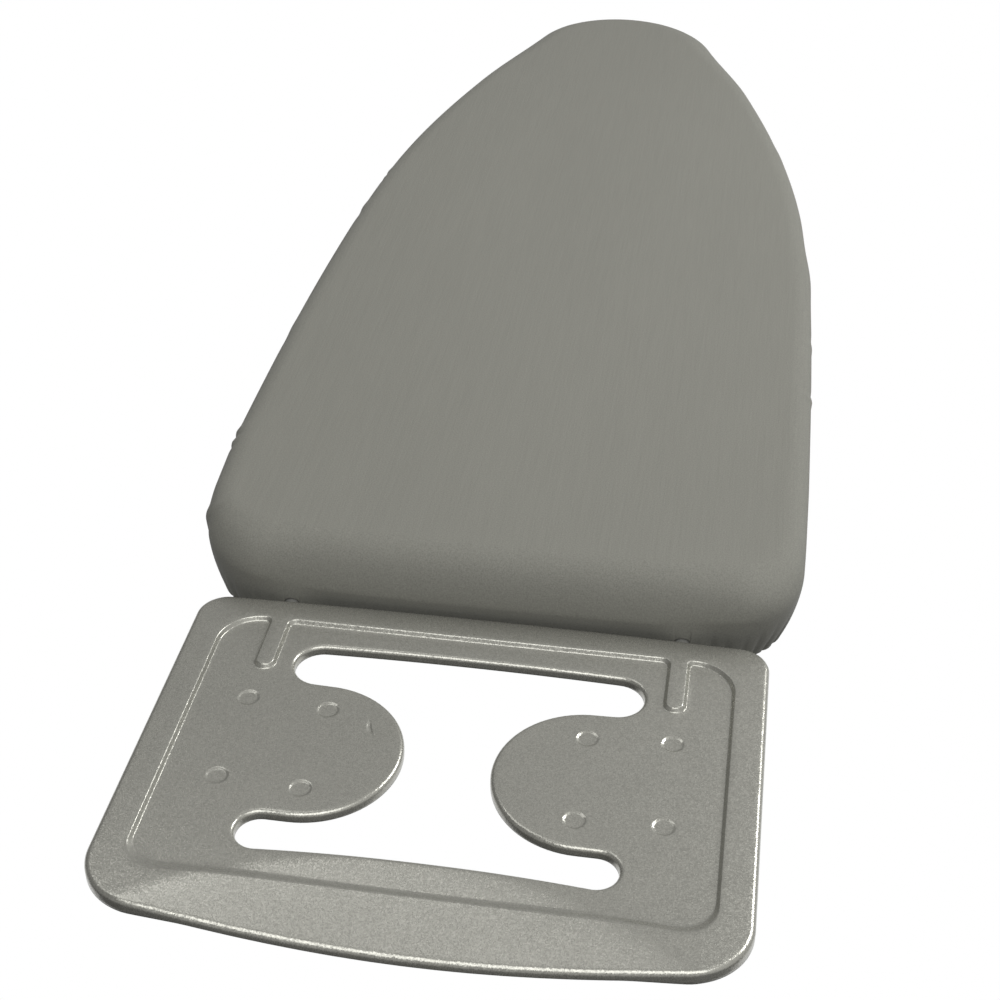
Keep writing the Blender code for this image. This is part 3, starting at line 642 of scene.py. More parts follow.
def turned_edge(flats, radius, steps, share, depth):
    """(inset, height) from the flat sheet out over a rounded edge and down a flange."""
    profile = [(flat * MM, 0) for flat in flats]
    profile += [(radius * (1 - sin(a)), -radius * (1 - cos(a))) for a in quarter(steps)]
    return profile + [(0, -share * depth), (0, -depth)]


def dimple_rings(x, y):
    """Rings of a shallow round dimple, from its edge to its middle."""
    radii = [1.12, 1.04, 0.98, 0.93, 0.88, 0.83, 0.77, 0.7, 0.45, 0.2]
    rings = [arc((x, y), DIMPLE_RADIUS * r, 0, 2 * pi, 40)[:-1] for r in radii]
    heights = [-RECESS_DEPTH - DIMPLE_DEPTH * eased_step(min(1, max(0, (1.04 - r) / 0.31))) for r in radii]
    return rings, heights


def dent_rings():
    """Rings of the long shallow dent near the edge of the left tongue."""
    start, end, bow = Vector(DENT_START), Vector(DENT_END), Vector(DENT_BOW)
    across = (end - start).normalized().orthogonal() * DENT_HALF_WIDTH
    shares = [1, 0.9, 0.8, 0.65, 0.5, 0.35, 0.15]
    rings = []
    for r in shares:
        ring = []
        for a in np.linspace(0, 2 * pi, 33)[:-1]:
            t = 0.5 + 0.5 * r * cos(a)
            ring.append(tuple(start.lerp(end, t) + bow * (4 * t * (1 - t)) + across * (r * sin(a))))
        rings.append(ring)
    return rings, [-RECESS_DEPTH - DENT_DEPTH * eased_step((1 - r) / 0.85) for r in shares]


def shorten_front_flange(verts):
    """The turned-down edge is lower in the middle of the front than at the corners and sides."""
    x, y, z = verts.T
    middle_share = ramp(y, -150, -165) * ramp(np.abs(x), 178, 128)
    below = np.maximum(-RIM_ROUND - z, 0)
    short = (FRONT_FLANGE - RIM_ROUND) / (TRAY_FLANGE - RIM_ROUND)
    verts[:, 2] += below * (1 - short) * middle_share


def make_tray():
    sheet = Patchwork()
    rim = turned_edge((14, 9, 6), RIM_ROUND, 8, 0.75, TRAY_FLANGE)
    rim_rings = ring_family(tray_outline, [p[0] for p in rim], 2.5 * MM)
    sheet.add_rings(rim_rings, [p[1] for p in rim])
    rim_verts = len(sheet.verts)

    shares = [0, 0.07, 0.14, 0.21, 0.28, 0.4, 0.5, 0.6, 0.72, 0.79, 0.86, 0.93, 1]
    riser_rings = ring_family(recess_outline, [RISER_RUN * s for s in shares], 1.6 * MM)
    sheet.add_rings(riser_rings, [-RECESS_DEPTH * eased_step(s) for s in shares])

    lip = turned_edge((7, 5), LIP_ROUND, 7, 0.8, OPENING_LIP)
    lip_rings = ring_family(opening_outline, [p[0] for p in lip], 1.6 * MM)
    sheet.add_rings(lip_rings, [-RECESS_DEPTH + p[1] for p in lip])

    marks = [dimple_rings(sign * x, y) for sign in (-1, 1) for x, y in DIMPLES] + [dent_rings()]
    for rings, heights in marks:
        sheet.add_rings(rings, heights, floor=True)
    mark_edges = [rings[0] for rings, _ in marks]

    sheet.add_flat(*filled([rim_rings[0], riser_rings[0]], 5 * MM, 2.2 * MM), 0)
    floor = filled([riser_rings[-1], lip_rings[0]] + mark_edges, 4 * MM, 2 * MM)
    sheet.add_flat(*floor, -RECESS_DEPTH)

    verts = np.array(sheet.verts)
    shorten_front_flange(verts[:rim_verts])
    verts[:, 2] += droop(verts)
    tray = turned_out(add_mesh("tray_sheet", verts, sheet.faces, "tray_paint"), 0.02 * MM)
    with edited(tray) as shape:
        if sum(f.normal.z * f.calc_area() for f in shape.faces) < 0:
            bmesh.ops.reverse_faces(shape, faces=shape.faces)
    thicken(tray, SHEET)
    stands_for(smoothed(tray, 60), "tray_plate")


# ------ cover

def half_board(end_width, side_width, corner_radius, slim):
    """The right half of the board's plan, from the middle of the end to the tip of the nose."""
    corner = (end_width - corner_radius, BOARD_END_Y + END_BOW + corner_radius)
    centre = (0, BOARD_NOSE_Y - NOSE_RADIUS)
    join = (NOSE_RADIUS * cos(NOSE_START_ANGLE), centre[1] + NOSE_RADIUS * sin(NOSE_START_ANGLE))
    pull = (join[0] + TAPER_SLOPE * TAPER_PULL[1], join[1] - TAPER_PULL[1])
    start = (side_width, TAPER_START_Y)
    half = []
    for k in range(40):
        t = k / 40
        half.append((corner[0] * t, BOARD_END_Y + END_BOW * t * t))
    half += arc(corner, corner_radius, -pi / 2, 0, 30)
    side = bezier([start, (start[0], start[1] + TAPER_PULL[0]), pull, join], 120)[:-1]
    half += [(x - slim * exp(-0.5 * ((y - WAIST_Y) / WAIST_REACH) ** 2), y) for x, y in side]
    half += arc(centre, NOSE_RADIUS, NOSE_START_ANGLE, pi / 2, 40)
    return half


def even_loop(loop, count):
    """A closed loop as points that stand closer at the end and the nose, with outward directions."""
    points = np.array(loop + loop[:1])
    run = np.concatenate([[0], np.cumsum(np.hypot(*np.diff(points, axis=0).T))])
    fine = np.linspace(0, run[-1], 6000)
    y = np.interp(fine, run, points[:, 1])
    crowding = 1 + 1.6 * ramp(y, 230, 170) + 0.6 * ramp(y, 950, 1050)
    from_rod = np.abs(np.abs(np.interp(fine, run, points[:, 0])) - ROD_X)
    crowding += 5 * ramp(from_rod, 15, 9) * ramp(y, 130, 124)
    crowd = np.concatenate([[0], np.cumsum((crowding[1:] + crowding[:-1]) / 2)])
    at = np.interp(np.arange(count) * crowd[-1] / count, crowd, fine)
    even = np.stack([np.interp(at, run, points[:, k]) for k in (0, 1)], 1)
    for _ in range(8):
        even = (np.roll(even, 1, 0) + 2 * even + np.roll(even, -1, 0)) / 4
    along = np.roll(even, -1, 0) - np.roll(even, 1, 0)
    along /= np.linalg.norm(along, axis=1)[:, None]
    outward = np.stack([along[:, 1], -along[:, 0]], 1)
    return even, outward, at, run[-1]


def board_loop():
    right = half_board(227 * MM, 228 * MM, CORNER_RADIUS, 0)
    left = half_board(220 * MM, 224.5 * MM, 58 * MM, 3.5 * MM)
    return even_loop(right + [(-x, y) for x, y in reversed(left[1:-1])], EDGE_POINTS)


def eased(values):
    values = np.clip(values, 0, 1)
    return values * values * (3 - 2 * values)


def ramp(values, start, end):
    """Eased from 0 at the start to 1 at the end, which are in millimetres."""
    return eased((values / MM - start) / (end - start))


def soft_rows(count, reach, seed):
    """Smooth random values around a loop, from -1 to 1."""
    draw = np.random.default_rng(seed).normal(size=count)
    spread = np.exp(-0.5 * (np.minimum(np.arange(count), count - np.arange(count)) / reach) ** 2)
    rows = np.real(np.fft.ifft(np.fft.fft(draw) * np.fft.fft(spread)))
    return rows / np.abs(rows).max()


class EdgeShape:
    """The board's edge as a fine loop, with what changes along it: end, corners, nose and rods."""

    def __init__(self):
        self.edge, self.outward, self.run, self.length = board_loop()
        self.count = len(self.edge)
        x, y = self.edge[:, 0], self.edge[:, 1]
        from_corner = np.hypot(np.abs(x) - 205 * MM, y - 128 * MM)
        self.corner = eased(1.15 - from_corner / (80 * MM))
        self.nose = ramp(y, 1040, 1150)
        self.end = ramp(y, 122, 112)
        soft_nose = (0.7 + 0.2 * np.clip(x / (80 * MM), -1, 1)) * ramp(y, 1000, 1150)
        soft = np.maximum(ramp(y, 190, 120), soft_nose)
        mid_end = ramp(y, 130, 118) * (1 - self.corner)
        self.widest = WIDEST_Z - 17 * MM * soft - 8.5 * MM * mid_end
        self.round = 18 * MM + 17 * MM * soft - 4 * MM * mid_end
        from_rod = np.abs(np.abs(x) - ROD_X)
        self.by_rod = self.end * np.exp(-(from_rod / (16 * MM)) ** 2)
        self.over_rod = (y < END_FACE_Y) & (from_rod < ROD_ROOM)
        self.rod_top = ROD_Z + np.sqrt(np.maximum(ROD_ROOM ** 2 - from_rod ** 2, 0))

    def ridge(self, at, width):
        gap = np.abs(self.run - at)
        gap = np.minimum(gap, self.length - gap)
        return np.exp(-0.5 * (gap / width) ** 2)

    def nearest(self, side, y):
        """How far along the edge the place beside a given Y is, on the left or the right."""
        away = np.abs(self.edge[:, 1] - y) + np.where(self.edge[:, 0] * side > 0, 0, 1)
        return self.run[np.argmin(away)]

    def place(self, inset, z):
        flat = self.edge - self.outward * (np.zeros(self.count) + inset)[:, None]
        return np.column_stack([flat, np.zeros(self.count) + z])

    def framed(self, inset, z):
        """Like place, but further in at the end, where the cover overhangs the panel and its frame."""
        spots = self.place(inset, z)
        start = BOARD_END_Y + END_BOW + CORNER_RADIUS
        share = np.maximum(start - spots[:, 1], 0) / (start - BOARD_END_Y - inset)
        spots[:, 1] += END_OVERHANG * share ** 2
        return spots


class CoverShape(EdgeShape):
    """Where the cover's cloth runs, ring by ring around the board's edge."""

    hem_inset = 31 * MM
    channel = 2.6 * MM

    def __init__(self):
        super().__init__()
        straight_end = self.end * (1 - self.corner)
        low = -12 * MM - 17 * MM * self.corner - 1 * MM * self.nose - 2 * MM * self.end
        self.low = np.where(self.over_rod, np.maximum(low, self.rod_top), low)
        self.turn = np.where(self.over_rod, 1.6 * MM, 5 * MM - 2.6 * MM * straight_end)
        right = ramp(self.edge[:, 0], 0, 100)
        self.pull = 2.4 * MM + (5.5 + 4.5 * right) * MM * self.corner
        self.pull += 4 * MM * self.nose + 4 * MM * straight_end
        self.pull *= 1 - 0.9 * self.by_rod
        self.puckers = self.made_puckers()
        self.pleats = self.made_pleats()
        self.crimps = self.made_crimps()
        gather = 0.35 + 0.65 * np.maximum(self.corner, self.nose)
        fine = soft_rows(self.count, 1.6, 3) * 1.5 * MM * gather * ~self.over_rod
        self.waves = sum(self.ridge(at, 2.6 * MM) * height for at, _, height, _ in self.puckers)
        self.hem_rise = fine + 0.5 * self.waves

    def made_puckers(self):
        """Ridges that run up the skirt from the hem: (place along the edge, width, height, reach)."""
        found, at = [], 0.0
        while at < self.length:
            k = int(at / self.length * self.count) % self.count
            tight = max(self.corner[k], self.nose[k])
            at += RANDOM.uniform(16, 52) * MM * (1 - tight) + RANDOM.uniform(3.5, 8) * MM * tight
            width = RANDOM.uniform(1.6, 3.2) * MM * (1 + 0.8 * (1 - tight))
            height = RANDOM.uniform(0.4, 1.0) * MM * (0.45 + 1.5 * tight) * (1 - 0.6 * self.end[k])
            reach = RANDOM.uniform(0.25, 0.75) * (0.7 + 0.5 * tight)
            found.append((at, width, height, reach))
        return found

    def made_pleats(self):
        """Narrow valleys where the hem gathers the corners: (place, width, depth, reach)."""
        found = []
        for side, start, count, depth in ((1, 153, 7, 2.2), (-1, 160, 5, 1.3)):
            gaps = self.edge - np.array((side * start, 110)) * MM
            first = self.run[np.argmin(np.hypot(*gaps.T))]
            for k in range(count):
                at = first + side * (k * 12.5 + RANDOM.uniform(-2.5, 2.5)) * MM
                width = RANDOM.uniform(1.3, 1.9) * MM
                deep = depth * MM * RANDOM.uniform(0.6, 1.1)
                found.append((at, width, deep, RANDOM.uniform(0.55, 0.95)))
        return found

    def pleat(self, t):
        """How far the pleats draw the cloth in at a share t of the way down the skirt."""
        drawn = np.zeros(self.count)
        for at, width, depth, reach in self.pleats:
            share = min(max((t - (1 - reach)) / reach, 0), 1) ** 1.3
            drawn += depth * share * self.ridge(at, width)
            drawn -= 0.45 * depth * share * self.ridge(at + 4.5 * width, 2.6 * width)
        return drawn

    def made_crimps(self):
        """Small folds that reach the rounded edge: (place along the edge, width, height)."""
        spots = [(-1, 262, 3.5, 1.3), (-1, 247, 3, 1.1), (-1, 160, 3.5, 1.4), (-1, 668, 7, 0.9),
                 (-1, 752, 4, 0.8), (-1, 735, 3, 0.5), (1, 590, 26, 1.2), (1, 381, 3.5, 0.9),
                 (1, 468, 5, 0.5), (-1, 430, 9, 0.4), (1, 850, 12, 0.4)]
        return [(self.nearest(side, y * MM), w * MM, h * MM) for side, y, w, h in spots]

    def crimp(self, share):
        return share * sum(h * (self.ridge(at, w) - 0.7 * self.ridge(at + 2.6 * w, w))
                           for at, w, h in self.crimps)

    def crown(self):
        """Rings from the flat top over the rounded edge to the widest line."""
        rings = []
        for a in quarter(18):
            inset = self.round * (1 - sin(a)) - self.crimp(sin(a) ** 3)
            z = self.widest + (COVER_TOP - self.widest) * cos(a)
            rings.append(self.place(inset, z + self.crimp(0.5 * cos(a) * sin(a) ** 2)))
        return rings

    def skirt(self):
        """Rings down the side, with the hem drawn in."""
        rings, steps = [], 20
        drop = self.low + self.turn - self.widest
        for k in range(1, steps + 1):
            t = k / steps
            inset = self.pull * t ** (1.6 - 0.6 * self.end) - self.crimp((1 - t) ** 1.5) + self.pleat(t)
            for at, width, height, reach in self.puckers:
                share = max(t - (1 - reach), 0) / reach
                if share > 0:
                    inset -= height * share ** 1.5 * self.ridge(at, width * (1 + 0.5 * (1 - t)))
            rings.append(self.place(inset, self.widest + drop * t))
        return rings

    def under(self):
        """Rings around the bottom edge, in to the hem, and around the channel for the elastic."""
        rings, steps = [], 8
        for a in quarter(6, 1):
            folds = (self.pleat(1) - self.waves) * (1 - a / (pi / 2))
            inset = self.pull + self.turn * (1 - cos(a)) + folds
            rings.append(self.place(inset, self.low + self.turn * (1 - sin(a))))
        first = self.pull + self.turn
        rise = 2 * MM + self.hem_rise
        for k in range(1, steps + 1):
            t = k / steps
            rings.append(self.place(first + (self.hem_inset - first) * t, self.low + rise * t))
        for k in range(1, 12):
            a = 2 * pi * k / 12
            z = self.low + rise + self.channel * (1 - cos(a))
            rings.append(self.place(self.hem_inset + self.channel * sin(a), z))
        return rings

    def elastic(self):
        """The line of the elastic in its channel."""
        return self.place(self.hem_inset, self.low + 2 * MM + self.channel + self.hem_rise)


def spine_rings(outer, steps):
    """Rings from an outer ring to a line down the middle, which its two sides share point by point."""
    across = np.roll(outer[::-1], 1, 0)
    spine = outer.copy()
    spine[:, 0] = 0
    spine[:, 1] = (outer[:, 1] + across[:, 1]) / 2
    spine[:, 1] = np.clip(spine[:, 1], outer[:, 1].min() + 150 * MM, outer[:, 1].max() - 80 * MM)
    return [outer + (spine - outer) * (k / steps) for k in range(1, steps)] + [spine]


def closed_sheet(name, rings, finish):
    """Rings joined into one skin whose first ring is its middle line."""
    return turned_out(add_mesh(name, *bands(rings), finish), 0.05 * MM)


def tube_along(name, line, radius, sides, finish):
    """A round bar whose middle line is a closed loop."""
    rings = []
    for i, point in enumerate(line):
        along = Vector(line[(i + 1) % len(line)] - line[i - 1]).normalized()
        rings.append(section(Vector(point), along, radius, sides))
    return lofted(name, rings, finish, closed_loop=True)


def flat_area(outset):
    """The area of the board's plan grown by outset, which is the cover's cut."""
    edge, outward = board_loop()[:2]
    x, y = (edge + outward * outset).T
    return 0.5 * abs(float(np.sum(x * np.roll(y, -1) - y * np.roll(x, -1))))


def make_cover():
    shape = CoverShape()
    crown = shape.crown()
    rings = spine_rings(crown[0], 26)[::-1] + crown + shape.skirt() + shape.under()
    cover = smoothed(closed_sheet("cover_cloth", rings, "cover_cloth"), 80)
    thicken(cover, 0.7 * MM)
    stands_for(cover, "cover")
    elastic = tube_along("hem_elastic_cord", shape.elastic()[::3], 1.4 * MM, 10, "elastic")
    stands_for(elastic, "hem_elastic")
    drop = WIDEST_Z - float(shape.low.mean()) + shape.hem_inset
    flat_area(drop)


def make_pad():
    """The felt under the cover: a low crowned slab that follows the cover's edge."""
    shape = EdgeShape()
    low, gap = PAD_BOTTOM, 1.3 * MM
    crown = COVER_TOP - gap - shape.widest
    rings = []
    for a in quarter(12):
        z = np.maximum(shape.widest + crown * cos(a), low + 1 * MM)
        over = np.sqrt(np.maximum(1 - ((z - shape.widest) / crown) ** 2, 0))
        rings.append(shape.place(gap + 0.6 * MM + shape.round * (1 - np.minimum(over, sin(a))), z))
    rings.append(rings[-1] - [0, 0, 0.9 * MM])
    skin = spine_rings(rings[0], 12)[::-1] + rings
    inner = [shape.place(inset, low) for inset in (24 * MM, 36 * MM, 48 * MM)]
    pad = closed_sheet("felt_pad_soft", skin + inner + spine_rings(inner[-1], 6), "felt")
    stands_for(smoothed(pad, 50), "felt_pad")


# ------ panel and frame under the top

def hole_cells(pitch, outline):
    """Middles of a honeycomb of cells that lie inside an outline."""
    low, high = np.min(outline, 0), np.max(outline, 0)
    row = pitch * 3 ** 0.5 / 2
    start = -round(-low[0] / pitch) * pitch
    spots = []
    for k in range(int((high[1] - low[1]) / row) + 1):
        shift = pitch / 2 if k % 2 else 0
        spots += [(x, low[1] + row * k) for x in np.arange(start + shift, high[0], pitch)]
    spots = np.array(spots)
    loop = [tuple(p) for p in outline]
    corners = [pitch / 3 ** 0.5 * np.array([cos(a), sin(a)]) for a in np.arange(6) * pi / 3 + pi / 6]
    return spots[np.all([inside(spots + corner, loop) for corner in corners], axis=0)]


def make_panel():
    """A perforated steel sheet: a field of round holes inside a plain pressed border."""
    shape = EdgeShape()
    pitch, hole, sides = 15 * MM, 4.6 * MM, 12
    cells = hole_cells(pitch, shape.framed(15 * MM, 0)[:, :2][::4])
    angles = np.arange(sides) * 2 * pi / sides + pi / 6
    reach = np.where(np.arange(sides) % 2 == 0, pitch / 3 ** 0.5, pitch / 2)
    rim = np.column_stack([np.cos(angles), np.sin(angles)])
    cell = np.concatenate([rim * hole, rim * reach[:, None]])
    flat = (cells[:, None, :] + cell[None]).reshape(-1, 2)
    verts = np.column_stack([flat, np.full(len(flat), PANEL_HIGH - 0.1 * MM)])
    faces = []
    for first in range(0, len(flat), 2 * sides):
        faces += ring_faces(first, first + sides, sides)
    field = turned_out(add_mesh("tabletop_mesh", verts, faces, "frame_paint"), 0.05 * MM)
    thicken(field, 0.8 * MM)
    stands_for(field, "tabletop_panel")
    low, high = PANEL_LOW - 0.2 * MM, PANEL_HIGH + 0.1 * MM
    step, inner = 0.4 * MM, 33 * MM
    border = ((PANEL_INSET, low + step), (PANEL_INSET + step, low), (inner, low),
              (inner + 0.6 * MM, low + 0.6 * MM), (inner, high), (PANEL_INSET + step, high),
              (PANEL_INSET, high - step))
    rings = [shape.framed(inset, z) for inset, z in border]
    ring = lofted("tabletop_border", rings, "frame_paint", closed_loop=True)
    stands_for(ring, "tabletop_panel")


def make_frame_tube():
    """The one bent tube around the edge, under the panel."""
    radius = 9 * MM
    line = EdgeShape().framed(PANEL_INSET + radius, PANEL_LOW - 0.3 * MM - radius)[::5]
    bent = tube_along("frame_tube", line, radius, 24, "frame_paint")
    stands_for(bent, "frame_tube_left", "frame_tube_right", "frame_tube_nose", "frame_tube_end")


# ------ legs and fittings

LEG_RADIUS = 10 * MM
FOOT_RADIUS = 11 * MM
PLATE_EDGES = {"rib_": 1.2 * MM, "slide_rail": 0.5 * MM, "pivot_bracket": 0.5 * MM,
               "tray_hanger": 0.5 * MM, "lever_bracket": 0.5 * MM, "tray_clip": 0.3 * MM}

def softened(name, width):
    """A copy of a CAD node with its sharp edges rounded."""
    mesh = frame["nodes"][name].data.copy()
    mesh.materials.clear()
    mesh.materials.append(FINISH[SLOT_OF[name]])
    copy = added(f"{name}_finished", mesh)
    with edited(copy) as shape:
        bmesh.ops.remove_doubles(shape, verts=shape.verts, dist=0.002 * MM)
        bmesh.ops.dissolve_limit(shape, angle_limit=radians(0.5), verts=shape.verts, edges=shape.edges)
    smoothed(copy, 35)
    bevel = copy.modifiers.new("edges", "BEVEL")
    bevel.width = width
    bevel.segments = 2
    bevel.limit_method = "ANGLE"
    bevel.angle_limit = radians(40)
    bevel.harden_normals = True
    stands_for(copy, name)


def weld(name, centre, along, radius):
    """A rippled bead of weld around a tube's end."""
    rings, steps, sides = [], 48, 8
    for k, spot in enumerate(section(centre, along, radius, steps)):
        out = (spot - centre).normalized()
        thick = 1.9 * MM * (1 + 0.12 * sin(9 * 2 * pi * k / steps))
        around = (2 * pi * i / sides for i in range(sides))
        rings.append([spot + (out * cos(b) + along * sin(b)) * thick for b in around])
    return lofted(name, rings, "frame_paint", closed_loop=True)


def leg_ends(name):
    """The two ends of a leg's middle line, foot first."""
    low, high = board_box(name)
    x, radius = (low.x + high.x) / 2, (high.x - low.x) / 2
    foot_y, top_y = (high.y, low.y) if name.startswith("outer") else (low.y, high.y)
    return Vector((x, foot_y, low.z + radius)), Vector((x, top_y, high.z - radius))


def make_legs():
    for pair in ("outer", "inner"):
        bar = f"{pair}_foot_bar"
        stands_for(tube(f"{pair}_foot_tube", bar_line(bar, 0), FOOT_RADIUS), bar)
        for side, sign in SIDES:
            name = f"{pair}_leg_{side}"
            foot, top = leg_ends(name)
            line = [foot, (foot + top) / 2, top]
            stands_for(tube(f"{name}_tube", line, LEG_RADIUS), name)
            along = (top - foot).normalized()
            bead = weld(f"{name}_weld", foot + along * 0.6 * MM, along, LEG_RADIUS)
            goes_with(bead, name)
            make_foot_cap(f"{pair}_foot_cap_{side}", sign)


def make_foot_cap(name, sign):
    low, high = board_box(name)
    start = (low + high) / 2
    start.x = low.x if sign > 0 else high.x
    length, radius, groove, bend = high.x - low.x, 13 * MM, 0.7 * MM, 4.5 * MM
    profile = [(0, radius - 1.2 * MM), (0.8 * MM, radius - 0.3 * MM), (1.8 * MM, radius)]
    for k in range(3):
        at = (5 + 3.4 * k) * MM
        profile += [(at, radius), (at + 0.4 * MM, radius - groove), (at + 1.2 * MM, radius - groove),
                    (at + 1.6 * MM, radius)]
    profile += [(length - bend + bend * sin(a), radius - bend + bend * cos(a)) for a in quarter(6)]
    profile.append((length, radius * 0.3))
    stands_for(turned(f"{name}_moulded", start, (sign, 0, 0), profile, "dark_plastic", 40), name)


def make_round_bars():
    for name, axis, radius, sides in (("pivot_axle", 0, 5, 24), ("slide_bar", 0, 5, 24),
                                      ("lever_pin", 1, 2.5, 20)):
        stands_for(rod(f"{name}_turned", bar_line(name, axis), radius * MM, sides), name)
    for side, _ in SIDES:
        name, plug = f"tray_rod_{side}", f"tray_rod_plug_{side}"
        stands_for(tube(f"{name}_tube", bar_line(name, 1), 6 * MM), name)
        length = span(plug).y
        profile = [(0, 6 * MM), (length * 0.4, 6 * MM), (length * 0.75, 5.3 * MM), (length, 3.6 * MM)]
        start = bar_line(plug, 1)[1]
        stands_for(turned(f"{plug}_moulded", start, (0, -1, 0), profile, "dark_plastic"), plug)


def make_ring(name, thick, inner, outer, finish):
    """A washer or bush with rounded rims, where a CAD node is."""
    at = middle(name) - Vector((thick / 2, 0, 0))
    edge = min(0.3 * MM, thick / 4)
    profile = [(0, inner), (0, outer - edge), (edge, outer), (thick - edge, outer), (thick, outer - edge),
               (thick, inner)]
    piece = turned(f"{name}_turned", at, (1, 0, 0), profile, finish, closed_loop=True)
    stands_for(piece, name)


def make_fasteners():
    for side, _ in SIDES:
        make_ring(f"axle_washer_{side}", 1.4 * MM, 5.3 * MM, 9 * MM, "zinc")
        make_ring(f"cross_washer_{side}", 1.4 * MM, 4.3 * MM, 9 * MM, "dark_plastic")
        make_ring(f"slide_bush_{side}", 9 * MM, 5.3 * MM, 6.3 * MM, "dark_plastic")
        name = f"cross_rivet_{side}"
        length = span(name).x
        head = [(0, 2), (0.5, 5), (1.2, 6.4), (2, 7), (2.01, 4)]
        profile = [(d * MM, r * MM) for d, r in head]
        profile += [(length - d, r) for d, r in reversed(profile)]
        start = bar_line(name, 0)[0]
        stands_for(turned(f"{name}_turned", start, (1, 0, 0), profile, "zinc"), name)


def make_lever():
    path = [Vector((x, 604, z)) * MM for x, z in (
        (14, 22.95), (-50, 22.95), (-60, 22.85), (-70, 22.3), (-99, 18.3), (-124, 14.9), (-132, 14.0),
        (-140, 13.6), (-155.7, 13.5))]
    stands_for(rod("lever_arm_bent", smooth_path(path, 6), 3 * MM, 20), "lever_arm")
    centre, half = middle("lever_grip"), span("lever_grip") / 2
    rings, steps, sides = [], 36, 40
    for k in range(steps + 1):
        t = -1 + 2 * k / steps
        round_end = max(0.0, 1 - abs(t) ** 7) ** 0.5
        grip = 1 - 0.07 * cos(4 * pi * t) * (1 - abs(t) ** 4)
        ring = []
        for i in range(sides):
            c, s = cos(2 * pi * i / sides), sin(2 * pi * i / sides)
            x = half.x * abs(c) ** 0.6 * (1 if c > 0 else -1) * round_end
            z = half.z * abs(s) ** 0.6 * (1 if s > 0 else -1) * round_end * grip
            ring.append(centre + Vector((x, half.y * t, z)))
        rings.append(ring)
    grip = lofted("lever_grip_moulded", rings, "dark_plastic", angle=60)
    stands_for(grip, "lever_grip")


def smooth_path(points, steps):
    """A path through points, with soft bends."""
    path = []
    for i in range(len(points) - 1):
        before, after = points[max(i - 1, 0)], points[min(i + 2, len(points) - 1)]
        a, b = points[i], points[i + 1]
        for k in range(steps):
            t = k / steps
            path.append(0.5 * (2 * a + (b - before) * t + (2 * before - 5 * a + 4 * b - after) * t * t
                               + (3 * a - before - 3 * b + after) * t ** 3))
    return path + [points[-1]]


def make_lever_spring():
    start, end = bar_line("lever_spring", 1)
    coil, wire, turns, per_turn = 4.4 * MM, 0.55 * MM, 3, 28
    steps = turns * per_turn
    rise = end.y - start.y - 2 * wire
    path = []
    for k in range(steps + 1):
        a = 2 * pi * k / per_turn
        path.append(start + Vector((coil * cos(a), wire + rise * k / steps, coil * sin(a))))
    spring = lofted("lever_spring_wire", swept(path, [wire] * len(path), 10), "zinc")
    stands_for(spring, "lever_spring")


def make_plates():
    """Ribs, rails, brackets, hangers, clips and the latch plate, with rounded edges."""
    for name in frame["nodes"]:
        for start, width in PLATE_EDGES.items():
            if name.startswith(start):
                softened(name, width)
    softened("latch_plate", 0.25 * MM)


def make_rivets():
    """Rivet heads that hold the flanges to the panel and the ribs, as one piece."""
    spots = []
    for _, sign in SIDES:
        spots += [(sign * 112, y, 29.4, 3.4) for y in (265, 285)]
        spots += [(sign * 47.5, y, 29.6, 2.8) for y in (640, 770, 900, 1030, 1120)]
        spots += [(sign * x, y, 29.2, 2.6) for y in (177, 324) for x in (135.5, 152.5)]
        spots += [(sign * x, y, -6.0, 2.4) for y in (-113, -7) for x in (133, 155)]
    heads = []
    for x, y, z, radius in spots:
        dome = [(radius * 0.45 * sin(a), max(radius * cos(a), 0.1)) for a in quarter(6, 1)]
        profile = [(d * MM, r * MM) for d, r in [(-0.3, radius), (0, radius)] + dome]
        heads.append(turned("rivet_heads", Vector((x, y, z)) * MM, (0, 0, -1), profile, "zinc", 20))
    with bpy.context.temp_override(active_object=heads[0], selected_editable_objects=heads):
        bpy.ops.object.join()
    goes_with(heads[0], "slide_rail_left")


# ------ camera and light

FOCAL_LENGTH = 64.2546
EYE = START + Vector((163.9, -880.9, 822.2)) * MM
DARK_GREY = 0.1
SKY_GREY = 0.45
FRONT_GREY = 0.15


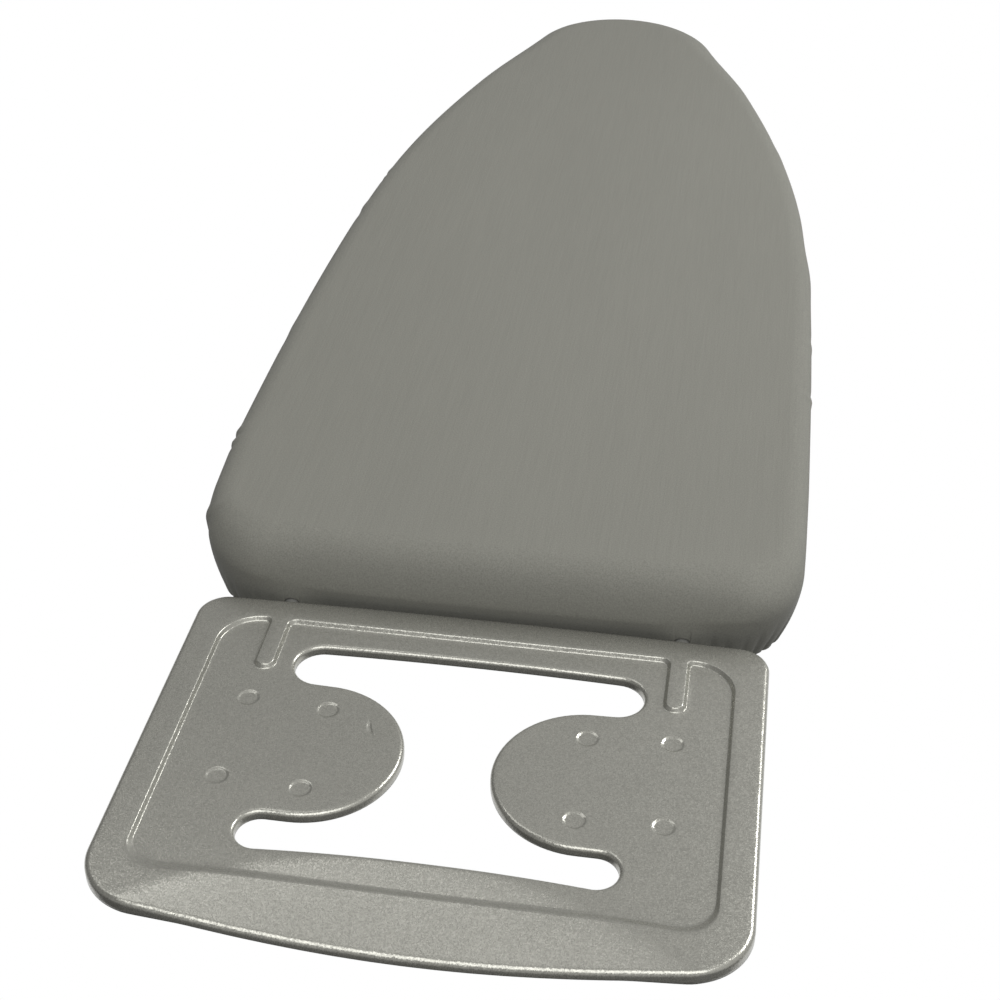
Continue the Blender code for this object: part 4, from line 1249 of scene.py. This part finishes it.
def make_camera():
    """A camera at the eye, turned, tilted and tipped."""
    lens = bpy.data.cameras.new("camera")
    lens.sensor_width = 36
    lens.lens = FOCAL_LENGTH
    camera = added("camera", lens)
    turn, tilt, tip = radians(8.749), radians(54.384), radians(0.276)
    facing = Matrix.Rotation(turn, 3, "Z") @ Matrix.Rotation(tilt, 3, "X") @ Matrix.Rotation(tip, 3, "Z")
    camera.matrix_world = Matrix.Translation(EYE) @ facing.to_4x4()
    bpy.context.scene.camera = camera


def area_light(name, place, target, size, power):
    lamp = bpy.data.lights.new(name, "AREA")
    lamp.shape = "RECTANGLE"
    lamp.size, lamp.size_y = size
    lamp.energy = power
    light = added(name, lamp)
    light.location = place
    light.rotation_euler = (Vector(target) - Vector(place)).to_track_quat("-Z", "Y").to_euler()


def make_world():
    """A white ground that fills the picture behind the object, in a grey studio."""
    world = bpy.data.worlds.new("studio")
    world.use_nodes = True
    tree = world.node_tree
    way = node(tree, "TexCoord", output="Generated")
    x, y, z = (node(tree, "SeparateXYZ", {"Vector": way}, axis) for axis in range(3))

    def product(a, b):
        return numbers(tree, "MULTIPLY", a, b)

    sky = product(ranged(tree, z, DARK_GREY, SKY_GREY, -0.1, 0.02), ranged(tree, x, 0.35, 1.3, -0.6, 0.3))
    low_band = product(ranged(tree, z, 0, 1, -0.1, 0.0), ranged(tree, z, 1, 0, 0.4, 0.6))
    front = product(ranged(tree, y, FRONT_GREY, 0, -0.6, 0), low_band)
    ground = product(ranged(tree, z, 1, 0, -0.25, -0.05), ranged(tree, y, 0, 1, -0.1, 0.25))
    shade = ranged(tree, ground, numbers(tree, "ADD", sky, front), 1.0, 0, 1)
    feed(tree, tree.nodes["Background"], {"Color": shade, "Strength": 1.0})
    bpy.context.scene.world = world


def make_lights():
    bpy.context.scene.view_settings.view_transform = "Standard"
    make_world()
    area_light("overhead", (-1.1, 0.3, 2.6), (-0.85, 0.2, 0), (1.3, 1.1), 9)
    area_light("front_box", (0.4, -2.1, 2.6), (0, -0.1, 0), (2.6, 2.0), 58)
    area_light("back_right_box", (1.3, 0.7, 1.6), (0, -0.1, 0), (0.9, 0.7), 31)


# ------ the whole

make_camera()
make_lights()
make_tray()
make_pad()
make_cover()
make_panel()
make_frame_tube()
make_legs()
make_round_bars()
make_fasteners()
make_lever()
make_lever_spring()
make_plates()
make_rivets()
